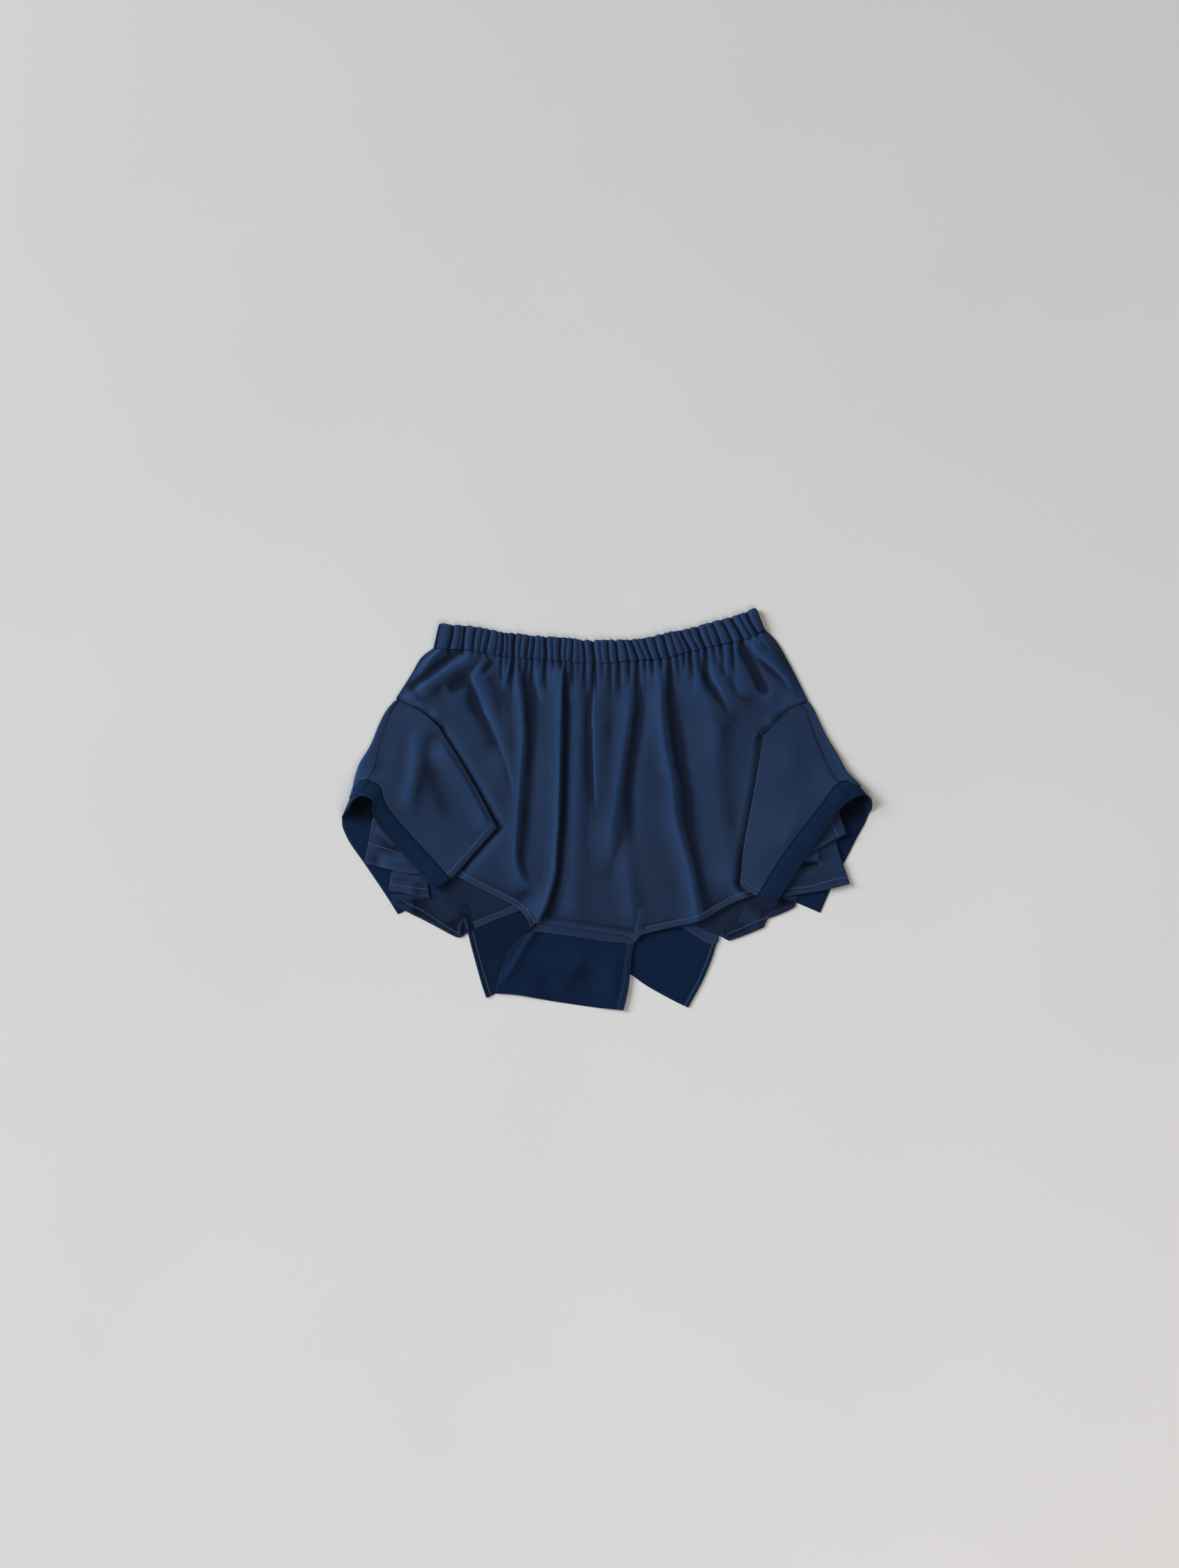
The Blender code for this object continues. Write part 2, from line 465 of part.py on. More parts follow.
def front_panel(material):
    """The front panel, gathered under the waistband, with its long folds."""
    fractions = band_fractions()
    seam = [across_band(BAND_SEAM, fraction) - Vector((0, GAP, 0)) for fraction in fractions]
    seam = [point.to_2d() for point in seam]
    sides = []
    for side, armhole, hidden in ((LEFT_SIDE, LEFT_ARMHOLE, LEFT_HIDDEN),
                                  (RIGHT_SIDE, RIGHT_ARMHOLE, RIGHT_HIDDEN)):
        sides.append(at(side, (0, 0.12, 0.3, 0.6)) + [Vector(row) for row in armhole[:-1]]
                     + spread(hidden, 8))
    hem_rows = row_fractions(FRONT_HEM)
    hem = [edge_point(FRONT_HEM, hem_rows, fraction) for fraction in fractions]
    seam[0], seam[-1] = sides[0][0], sides[1][0]
    rows = patch(seam, hem, sides[0], sides[1])
    last = len(rows[0]) - 1

    def height(x, y, i, j):
        """Top of the panel at a place, from the seams' base height up."""
        edge = smooth(min(i, last - i) / 3) * (1 if j else 0.7)
        wave = GATHER_DEPTH * gather_wave(x) * smooth((y - hang(x) + GATHER_FADE) / GATHER_FADE)
        lift = RELIEF + fold_height(x, y)
        corner = sum(SEAM_LIFT * math.exp(-((x - at_x) ** 2 + (y - at_y) ** 2) / 40)
                     for at_x, at_y in SEAM_CORNERS)
        top = PANEL_TOP + max(0.0, edge * quiet(x, y) * lift - wave * edge) + corner
        return top + (CASING_HEIGHT - PANEL_TOP - RELIEF) * edge * smooth((y - hang(x) + 16) / 16)

    rows = [[Vector((p.x, p.y, height(p.x, p.y, i, j))) for i, p in enumerate(row)]
            for j, row in enumerate(rows)]
    return cloth("front_panel", rows, PANEL_WALL, material, outward=1.0)


def hang(x):
    """The waistband seam's y at an x, level beyond its ends."""
    left, right = BAND_SEAM[0][0], BAND_SEAM[-1][0]
    return across_band(BAND_SEAM, max(0.0, min(1.0, (x - left) / (right - left)))).y


def edge_point(path, rows, fraction):
    """A straight-sided sample of a path, moved to the nearest row so that corners stay sharp."""
    nearest = min(range(len(rows)), key=lambda index: abs(rows[index] - fraction))
    if abs(rows[nearest] - fraction) < 0.006:
        return Vector(path[nearest])
    index = max(i for i in range(len(rows) - 1) if rows[i] <= fraction)
    share = (fraction - rows[index]) / (rows[index + 1] - rows[index])
    return Vector(path[index]).lerp(Vector(path[index + 1]), share)


def back_height(x, y):
    """Top of the back panel: flat on the floor, lifted where it lies over the left cuff's end."""
    lift = (RIB_WALL + 2 * GAP) * smooth((-212 - x) / 10) * smooth((-76 - y) / 12)
    loop = LOOP_RISE * math.exp(-(((x - HEM_LOOP[0]) / 5) ** 2 + ((y - HEM_LOOP[1]) / 8) ** 2))
    return PANEL_WALL + lift + loop


def back_panel(material):
    """The back panel: the layer that rests on the floor."""
    hem_rows = row_fractions(BACK_HEM)
    fractions = [hem_rows[0]]
    for one, two in zip(hem_rows, hem_rows[1:]):
        fractions += [(one + two) / 2, two] if two - one > WIDE_STEP else [two]
    hem = [edge_point(BACK_HEM, hem_rows, fraction) for fraction in fractions]
    seam = [(across_band(BAND_SEAM, fraction) - Vector((0, 2 * GAP, 0))).to_2d() for fraction in fractions]
    sides = []
    for side, armhole, hidden in ((LEFT_SIDE, BACK_LEFT_ARMHOLE, BACK_LEFT_HIDDEN),
                                  (RIGHT_SIDE, BACK_RIGHT_ARMHOLE, BACK_RIGHT_HIDDEN)):
        sides.append(at(side, (0, 0.33, 0.67)) + at(armhole, (0, 0.5)) + at(hidden, BACK_ROWS))
    seam[0], seam[-1] = sides[0][0], sides[1][0]
    rows = raised(patch(seam, hem, sides[0], sides[1]), back_height)
    return cloth("back_panel", rows, PANEL_WALL, material, outward=1.0)


def back_section(stations, share):
    """A sleeve's back half's cross section at a share of its length."""
    place = share * (len(stations) - 1)
    index = min(int(place), len(stations) - 2)
    mix = place - index
    return BackStation(*[a + (b - a) * mix for a, b in zip(stations[index], stations[index + 1])])


def blend(values, share):
    """A value read from an evenly spaced row of values."""
    place = share * (len(values) - 1)
    index = min(int(place), len(values) - 2)
    return values[index] + (values[index + 1] - values[index]) * (place - index)


def sleeve_front(name, armhole, fold, fold_rows, slit, band, back, material):
    """A sleeve's front half: folded under along its slit edge and sewn to the cuff at the other."""
    sewn = [Vector((row.sewn_x, row.sewn_y)) for row in band]
    sewn_z = [row.sewn_z for row in band]
    across = len(band) - 1
    side = 1 if name.startswith("sleeve_left") else -1
    top = [point + Vector((-side * 0.2, -1)) * GAP for point in straight(armhole, across)]
    left = [back_section(back, j / SLEEVE_ROWS) for j in range(SLEEVE_ROWS + 1)]
    seam_z = [row.seam_z for row in left]
    left = [Vector((row.seam_x + side * GAP * 1.2, row.seam_y)) for row in left]
    free = spread(fold, fold_rows) + spread(slit, SLEEVE_ROWS - fold_rows)[1:]
    sewn = [point + Vector((side * 0.7, 0.9)) * GAP for point in sewn]
    top[0], top[-1] = left[0], free[0]
    sewn[0], sewn[-1] = left[-1], free[-1]
    rows = patch(top, sewn, left, free)

    def height(u, v):
        """Height between the underarm seam, the armhole and the cuff seam."""
        upper = seam_z[0] + (SLEEVE_EDGE - seam_z[0]) * smooth(u * 1.3)
        ruled = upper * (1 - v) + blend(sewn_z, u) * v + blend(seam_z, v) * (1 - u) + SLEEVE_EDGE * u
        corners = ((seam_z[0] * (1 - u) + SLEEVE_EDGE * u) * (1 - v)
                   + (seam_z[-1] * (1 - u) + SLEEVE_EDGE * u) * v)
        belly = SLEEVE_BELLY * math.sin(math.pi * min(1, u * 1.15)) * math.sin(math.pi * v)
        return max(ruled - corners, upper * 0.95) + belly

    rows = [[Vector((p.x, p.y, height(i / across, j / SLEEVE_ROWS))) for i, p in enumerate(row)]
            for j, row in enumerate(rows)]
    return cloth(name, turned_under(rows, SLEEVE_TURN, 4, reach=SLEEVE_HEM), PANEL_WALL, material, outward=1.0)


def sleeve_back(name, stations, material):
    """A sleeve's back half: on the floor, rolled over the outline and up to the underarm seam."""
    rows = []
    for sample in range(SLEEVE_ROWS + 1):
        now = back_section(stations, sample / SLEEVE_ROWS)
        inner = Vector((now.inner_x, now.inner_y, 0))
        outline = Vector((now.outline_x, now.outline_y, 0))
        seam = Vector((now.seam_x, now.seam_y, now.seam_z))
        out = Vector((outline.x - seam.x, outline.y - seam.y, 0))
        reach = out.length
        out.normalize()
        radius = min(now.seam_z / 2, reach * 0.45)
        centre = outline - out * radius
        arc = [centre + out * radius * math.sin(math.pi * step / 5)
               + Vector((0, 0, radius * (1 - math.cos(math.pi * step / 5)))) for step in range(6)]
        up = Vector((0, 1, 0)) - out * out.y
        crown = [arc[-1].lerp(seam, share) + up.normalized() * now.bulge * math.sin(math.pi * share)
                 for share in (0.3, 0.65)]
        rows.append([inner, inner.lerp(centre, 0.35), inner.lerp(centre, 0.75)] + arc + crown + [seam])
    return cloth(name, rows, PANEL_WALL, material, outward=-1.0)


def cuff(name, stations, material):
    """A cuff: a band from its strand on the floor, over its standing fold, to its strand on top."""
    rows = []
    for now in stations:
        free = Vector((now.free_x, now.free_y, now.free_z))
        sewn = Vector((now.sewn_x, now.sewn_y, now.sewn_z))
        crown = CUFF_CROWN if now.free_z > CASING_HEIGHT else 0.0
        middle = (free + sewn) / 2 + Vector((0, 0, crown))
        rows.append([free, middle, sewn])
    return cloth(name, rows, RIB_WALL, material, outward=-1.0, at_row=1)


def flap(edges, material):
    """A doubled fold of a shoulder part: its fold edge towards the sleeve's opening."""
    top = spread(edges.hidden_top, 5)
    hem = spread(edges.hem, 5)
    fold_edge = spread(edges.fold_edge, 5)
    hidden = spread(edges.hidden_end, 5)
    rows = patch(top, hem, hidden, fold_edge)
    climb = edges.bottom_height - edges.top_height

    def height(x, y):
        """Top of the fold: it follows the back panel's lift and climbs over the fold below it."""
        step = climb * smooth((-42 - y) / 16) * smooth((x + 262) / 14)
        return edges.top_height + step + back_height(x, y) - PANEL_WALL

    rows = raised(rows, height)
    return cloth(edges.name, turned_under(rows, TURN_RADIUS, 4, back=3), PANEL_WALL, material, outward=1.0)


def collar_height(x, y):
    """Top of the centre collar piece: over the leaves, down to the floor between, left edge curling."""
    on_leaves = PANEL_TOP + 0.4
    dip = smooth((x + 92) / 26) * smooth((0 - x) / 26) * smooth((-168 - y) / 26)
    left_edge = -82.6 - (-137.4 - y) * 0.6
    curl = CURL_RISE * math.exp(-((x - left_edge) / 9) ** 2) * smooth((y + 205) / 30)
    return on_leaves - (on_leaves - RIB_WALL) * dip + curl


def flat_piece(name, top, bottom, left, right, counts, height, wall, material):
    """A piece between four cut edges at a given height."""
    across, down = counts
    rows = patch(spread(top, across), spread(bottom, across), spread(left, down), spread(right, down))
    return cloth(name, raised(rows, height), wall, material, outward=1.0)


def collar_and_neck(rib, pique):
    """The cut collar, the strip above it and the tapes over the neckline seam."""
    flat_piece("collar_center", COLLAR_TOP, COLLAR_FREE, COLLAR_LEFT, COLLAR_RIGHT, (20, 10),
               collar_height, RIB_WALL, rib)
    flat_piece("neck_strip", STRIP_UPPER, STRIP_LOWER, [STRIP_UPPER[0], STRIP_LOWER[0]],
               [STRIP_UPPER[-1], STRIP_LOWER[-1]], (14, 1), lambda x, y: PANEL_TOP + 0.8, PANEL_WALL, pique)
    flat_piece("collar_leaf_left", LEAF_L_TOP, LEAF_L_FREE, LEAF_L_OUT, LEAF_L_IN, (6, 8),
               lambda x, y: RIB_WALL, RIB_WALL, rib)
    flat_piece("collar_leaf_right", LEAF_R_TOP, LEAF_R_FREE, LEAF_R_IN, LEAF_R_OUT, (8, 8),
               lambda x, y: RIB_WALL, RIB_WALL, rib)
    for side, upper, lower in (("left", TAPE_L_UPPER, TAPE_L_LOWER), ("right", TAPE_R_UPPER, TAPE_R_LOWER)):
        flat_piece("neck_tape_" + side, upper, lower, [upper[0], lower[0]], [upper[-1], lower[-1]], (8, 1),
                   lambda x, y: PANEL_WALL, PANEL_WALL, pique)


def build_skirt():
    """Build every piece of the skirt."""
    pique = finish("navy pique", (0.022, 0.037, 0.078), 0.9)
    sleeve = finish("navy sleeve pique", (0.02, 0.035, 0.07), 0.88)
    rib = finish("dark flat knit", (0.008, 0.02, 0.052), 0.86)
    waistband(pique)
    front_panel(pique)
    back_panel(pique)
    sleeve_front("sleeve_left_front", LEFT_ARMHOLE, LEFT_FOLD, 8, LEFT_SLIT, LEFT_CUFF[12:], LEFT_BACK,
                 sleeve)
    sleeve_front("sleeve_right_front", RIGHT_ARMHOLE[1:], RIGHT_FOLD, 11, RIGHT_SLIT, RIGHT_CUFF[11:],
                 RIGHT_BACK, sleeve)
    sleeve_back("sleeve_left_back", LEFT_BACK, sleeve)
    sleeve_back("sleeve_right_back", RIGHT_BACK, sleeve)
    cuff("cuff_left", LEFT_CUFF, rib)
    cuff("cuff_right", RIGHT_CUFF, rib)
    collar_and_neck(rib, pique)
    for edges in FLAPS:
        flap(edges, pique)


for old in list(bpy.data.objects):
    bpy.data.objects.remove(old)
COLLECTION = bpy.data.collections.new("skirt")
bpy.context.scene.collection.children.link(COLLECTION)
build_skirt()
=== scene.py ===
"""Looks of a mini skirt made over from a pique polo shirt, laid flat on its back panel.

Every cloth piece is a fine grid of points on its outer face, thickened inwards, and stands for the
plain solid of the same name. Places are millimetres on the table: x to the right, y towards the
waistband, z up from the surface that the skirt lies on.
"""
from __future__ import annotations

import logging
import math
from dataclasses import dataclass, field
from enum import Enum
from typing import Any, Callable, Sequence

import bmesh
import bpy
import numpy as np
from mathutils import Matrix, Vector
from mathutils.bvhtree import BVHTree


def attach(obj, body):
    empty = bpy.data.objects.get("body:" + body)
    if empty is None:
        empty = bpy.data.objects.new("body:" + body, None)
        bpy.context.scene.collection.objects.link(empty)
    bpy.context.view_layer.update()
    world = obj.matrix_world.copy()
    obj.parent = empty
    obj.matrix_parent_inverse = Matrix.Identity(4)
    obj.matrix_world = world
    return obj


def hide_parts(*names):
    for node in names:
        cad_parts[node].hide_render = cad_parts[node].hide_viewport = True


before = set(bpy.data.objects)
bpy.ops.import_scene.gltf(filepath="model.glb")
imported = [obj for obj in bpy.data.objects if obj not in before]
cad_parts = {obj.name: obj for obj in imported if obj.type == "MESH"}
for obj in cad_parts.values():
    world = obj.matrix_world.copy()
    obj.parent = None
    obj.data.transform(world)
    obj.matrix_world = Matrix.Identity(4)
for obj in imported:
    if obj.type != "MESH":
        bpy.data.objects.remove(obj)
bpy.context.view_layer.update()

LOG = logging.getLogger("skirt")

Path = Sequence[tuple[float, ...]]

MM = 0.001
UP = np.array((0.0, 0.0, 1.0))
MIDDLE = np.array((0.6, -0.25, 0.0))    # middle of the outline, brought to the origin

PANEL_WALL = 1.2
RIB_WALL = 1.3
SHOWN_WALL = 0.9            # wall of the shown cloth, inside the solid's own
GAP = 0.3                   # between two pieces at a seam
CASING_HEIGHT = 5.6
PANEL_TOP = 2 * PANEL_WALL + GAP
RELIEF = 2.6                # how far the front panel's middle stands over its edges
SLEEVE_EDGE = 7.6           # height of a sleeve's fold and slit
SLEEVE_TURN = 1.9           # radius of the turn along them
FLAP_TURN = 1.4             # radius of a shoulder fold's turn
HEM_WIDTH = 7.0
HEM_STEPS = 320             # steps along a panel's lower edge

CURVE_SAMPLES = 60          # samples of a smooth edge before it is spaced evenly
FINE_SAMPLES = 400          # samples of the band's long edges
RIM_SHARE = 0.3             # how far a rounded rim stands out, as a share of the wall
RELIEF_SCALES = ((2, 1.5), (6, 0.5), (12, 0.2))     # reach in grid steps, and weight
HEM_WEAR = 1.6              # width of the wear along a hem
SEAM_SHADOW = 1.0           # width of the shadow in a seam

BAND_TOP: Path = [(-189.6, 206.6), (-186, 209.3), (-176.4, 208.3), (-158.8, 207.2), (-141, 204.8),
                  (-131.6, 202.9), (-117, 199.7), (-99.6, 198.4), (-88, 196.5), (-67.6, 194.9),
                  (-51.6, 193.9), (-38.8, 193.1), (-29, 191.2), (-10, 190.7), (0, 191.2), (28.8, 191.7),
                  (46.4, 193.9), (64, 198.4), (80, 201.6), (89.6, 203.2), (105.6, 207.7), (123, 212.5),
                  (137.6, 216.3), (152, 220.8), (160, 224.0), (166.4, 226.4), (169.8, 225.2)]
BAND_SEAM: Path = [(-195.4, 181.6), (-181, 180.8), (-154, 179.2), (-122, 173.6), (-90, 170.4),
                   (-58, 168), (-26, 164.8), (-2, 164.6), (24, 167.2), (64, 170.4), (89.6, 176.8),
                   (128, 185.6), (156.8, 192), (178.3, 203.2)]
LEFT_SIDE: Path = [(-195.6, 181.2), (-209, 170.4), (-221, 150.4), (-237.2, 125)]
LEFT_ARMHOLE: Path = [(-237.2, 125), (-230.8, 120.8), (-218, 115.2), (-202, 105.6), (-190, 93.6)]
LEFT_HIDDEN: Path = [(-190, 93.6), (-184, 60), (-184, 0), (-184, -66)]
RIGHT_SIDE: Path = [(178.2, 202.6), (192, 188), (208, 160), (227, 122.4)]
RIGHT_ARMHOLE: Path = [(227, 122.4), (218.4, 118.6), (206.4, 112.8), (192, 99.2), (177.2, 83)]
RIGHT_HIDDEN: Path = [(177.2, 83), (176, 40), (176, -20), (173, -96)]
LEFT_FOLD: Path = [(-190.6, 92.8), (-184, 82), (-174.6, 68), (-157.3, 40.7), (-138.7, 8.7),
                   (-123.3, -20.7)]
LEFT_SLIT: Path = [(-123.3, -20.7), (-148, -48.7), (-169.3, -72.7), (-175.3, -78)]
RIGHT_FOLD: Path = [(176.8, 82.4), (172.7, 56.7), (164, 7.3), (154.7, -43.3), (150.7, -83.3)]
RIGHT_SLIT: Path = [(150.7, -83.3), (153.3, -88), (162, -93.5), (170, -97.6)]


class Side(Enum):
    """A side of the skirt as it lies in front of the viewer."""

    LEFT = "left"
    RIGHT = "right"

    @property
    def sign(self) -> int:
        """1 on the left, -1 on the right."""
        return 1 if self is Side.LEFT else -1


class Held(Enum):
    """How a cloth piece lies."""

    LAID = "laid"
    FOLDED = "folded"
    GATHERED = "gathered"


def smooth(value: Any) -> Any:
    """Ease from 0 to 1 for a number or an array that runs from 0 to 1."""
    value = np.clip(value, 0.0, 1.0)
    return value * value * (3 - 2 * value)


def lengths_of(points: np.ndarray) -> np.ndarray:
    """Length along a run of points at each of them."""
    steps = np.linalg.norm(np.diff(points, axis=0), axis=1)
    return np.concatenate([[0.0], np.cumsum(steps)])


def rounded(path: Path, shares: np.ndarray, by_length: bool = True) -> np.ndarray:
    """Sample a smooth curve through a path's rows.

    Args:
        path: Rows of coordinates.
        shares: Where to sample, from 0 at the first row to 1 at the last.
        by_length: Measure shares along the path's length, or else by its rows.

    Returns:
        One point for each share.
    """
    rows = np.asarray(path, float)
    marks = lengths_of(rows) if by_length else np.arange(len(rows), dtype=float)
    target = np.asarray(shares) * marks[-1]
    index = np.clip(np.searchsorted(marks, target, side="right") - 1, 0, len(rows) - 2)
    padded = np.vstack([2 * rows[0] - rows[1], rows, 2 * rows[-1] - rows[-2]])
    t = ((target - marks[index]) / (marks[index + 1] - marks[index]))[:, None]
    a, b, c, d = (padded[index + step] for step in range(4))
    square, cube = 2 * a - 5 * b + 4 * c - d, 3 * b - a - 3 * c + d
    return 0.5 * (2 * b + (c - a) * t + square * t ** 2 + cube * t ** 3)


def even(points: np.ndarray, count: int) -> np.ndarray:
    """Resample a run of points at count equal straight steps."""
    marks = lengths_of(points)
    target = np.linspace(0, marks[-1], count + 1)
    return np.stack([np.interp(target, marks, points[:, axis]) for axis in range(points.shape[1])], axis=1)


def spaced(path: Path, count: int, samples: int = CURVE_SAMPLES) -> np.ndarray:
    """Sample a smooth curve through a path's rows at count equal steps."""
    return even(rounded(path, np.linspace(0, 1, samples)), count)


def chain(stretches: Sequence[Path], count: int) -> np.ndarray:
    """Join smooth stretches at sharp corners and sample them at count equal steps."""
    parts = [rounded(stretch, np.linspace(0, 1, 40)) for stretch in stretches]
    return even(np.vstack([parts[0]] + [part[1:] for part in parts[1:]]), count)


def edge_shares(edge: np.ndarray) -> np.ndarray:
    """Share of an edge's length at each of its points."""
    lengths = lengths_of(edge)
    return lengths / lengths[-1]


def patch(top: np.ndarray, bottom: np.ndarray, left: np.ndarray, right: np.ndarray) -> np.ndarray:
    """Fill four edges with a grid of points.

    Args:
        top: Points of the upper edge, from left to right.
        bottom: As many points of the lower edge.
        left: Points of the first column, from top to bottom.
        right: As many points of the last column.

    Returns:
        Array of rows, columns and coordinates.
    """
    u = ((edge_shares(top) + edge_shares(bottom)) / 2)[None, :, None]
    v = ((edge_shares(left) + edge_shares(right)) / 2)[:, None, None]
    ruled = top[None] * (1 - v) + bottom[None] * v + left[:, None] * (1 - u) + right[:, None] * u
    corners = (top[0] * (1 - u) + top[-1] * u) * (1 - v) + (bottom[0] * (1 - u) + bottom[-1] * u) * v
    return ruled - corners


def lifted(flat: np.ndarray, height: np.ndarray) -> np.ndarray:
    """Flat points given a height each."""
    return np.concatenate([flat[..., :2], np.broadcast_to(height, flat.shape[:-1])[..., None]], axis=-1)


def to_path(points: np.ndarray, path: np.ndarray) -> tuple[np.ndarray, np.ndarray]:
    """Measure points against a path.

    Args:
        points: Array whose last axis holds x and y.
        path: Rows of x and y.

    Returns:
        The distance, positive to the left of the path's run, and the share along its length.
    """
    best = np.full(points.shape[:-1], np.inf)
    side = np.ones_like(best)
    share = np.zeros_like(best)
    marks = lengths_of(path)
    for index, (one, two) in enumerate(zip(path, path[1:])):
        run = two - one
        size = float(run @ run)
        if size < 1e-12:
            continue
        off = points[..., :2] - one
        t = np.clip((off @ run) / size, 0, 1)
        gap = np.linalg.norm(off - t[..., None] * run, axis=-1)
        near = gap < best
        best = np.where(near, gap, best)
        side = np.where(near, np.where(run[0] * off[..., 1] - run[1] * off[..., 0] >= 0, 1.0, -1.0), side)
        share = np.where(near, (marks[index] + t * math.sqrt(size)) / marks[-1], share)
    return best * side, share


def face_normals(points: np.ndarray) -> np.ndarray:
    """Unit normals of a grid of points, upwards where rows run down and columns run right."""
    down = np.gradient(points, axis=0)
    across = np.gradient(points, axis=1)
    normal = np.cross(down, across)
    return normal / np.maximum(np.linalg.norm(normal, axis=-1, keepdims=True), 1e-9)


@dataclass(frozen=True)
class Crease:
    """A ridge or valley along a line of the cloth.

    Attributes:
        path: The crest's line.
        rise: Height of the crest, below 0 in a valley.
        left: Width of the flank on the left of the path's run.
        right: Width of the other flank.
        fade: Share of the line over which each end runs out.
        sharp: 0 for a soft roll, 1 for a pressed edge.
    """

    path: Path
    rise: float
    left: float
    right: float
    fade: float = 0.2
    sharp: float = 0.0

    def height(self, points: np.ndarray) -> np.ndarray:
        """Height that the crease adds at each point."""
        line = rounded(self.path, np.linspace(0, 1, 8 * len(self.path)))
        gap, share = to_path(points, line)
        reach = np.abs(gap) / np.where(gap > 0, self.left, self.right)
        profile = (1 - self.sharp) * np.exp(-reach ** 2) + self.sharp * np.exp(-1.6 * reach)
        return self.rise * profile * smooth(share / self.fade) * smooth((1 - share) / self.fade)


@dataclass(frozen=True)
class Band:
    """A doubled strip beside a hem or seam, with the stitching's dent along its inner side.

    Attributes:
        path: The hem's or the seam's line.
        width: How far the strip reaches from it.
        rise: Height of the strip.
        dent: Depth of the dent.
    """

    path: np.ndarray
    width: float = HEM_WIDTH
    rise: float = 0.7
    dent: float = 0.35

    def height(self, points: np.ndarray) -> np.ndarray:
        """Height that the strip adds at each point."""
        gap = np.abs(to_path(points, self.path)[0])
        strip = self.rise * smooth((self.width + 0.6 - gap) / 1.2)
        return strip - self.dent * np.exp(-((gap - self.width + 1.2) / 1.1) ** 2)


def turned_under(points: np.ndarray, radius: float, reach: float, back: int = 0) -> np.ndarray:
    """Fold each row's end under itself.

    Each row is first shortened by the radius, so that the turn ends on the grid's own last column.

    Args:
        points: Grid whose last column is the fold's outermost line.
        radius: Radius of the turn.
        reach: How far the layer below runs straight back.
        back: Columns that the layer below runs back under instead.

    Returns:
        The grid with the turn and the layer below added.
    """
    last, before = points[:, -1], points[:, -2]
    run = np.gradient(last, axis=0)
    out = np.stack([run[:, 1], -run[:, 0], np.zeros(len(run))], axis=1)
    out /= np.linalg.norm(out, axis=1, keepdims=True)
    middle = len(points) // 2
    out *= math.copysign(1, out[middle] @ (last[middle] - points[middle, 0]))
    level = (last - before) * (1, 1, 0)
    level /= np.linalg.norm(level, axis=1, keepdims=True)
    for end in (0, -1):
        out[end] = out[end] + 2 * level[end]
        out[end] /= np.linalg.norm(out[end])
    cut = radius / np.maximum(np.sum(out * level, axis=1), 0.5)
    short = np.empty_like(points)
    for number, row in enumerate(points):
        along = lengths_of(row)
        at = along * (1 - cut[number] / along[-1])
        short[number] = np.stack([np.interp(at, along, row[:, axis]) for axis in range(3)], axis=1)
    start = short[:, -1]
    arc = [start + out * radius * math.sin(turn) + UP * radius * (math.cos(turn) - 1)
           for turn in np.linspace(0, math.pi, 9)]
    if back:
        below = [short[:, -2 - step * 2] - UP * 2 * radius for step in range(back)]
    else:
        below = [arc[-1] - out * reach * share for share in (0.33, 0.66, 1.0)]
    return np.concatenate([short[:, :-1], np.stack(arc + below, axis=1)], axis=1)


def relief(points: np.ndarray, reach: int) -> np.ndarray:
    """How far each point of a grid stands over its neighbours reach steps away, in millimetres."""
    rows, columns = points.shape[:2]
    down, across = np.arange(rows), np.arange(columns)
    around = (points[np.clip(down - reach, 0, rows - 1)] + points[np.clip(down + reach, 0, rows - 1)]
              + points[:, np.clip(across - reach, 0, columns - 1)]
              + points[:, np.clip(across + reach, 0, columns - 1)]) / 4
    return np.sum((points - around) * face_normals(points), axis=-1)


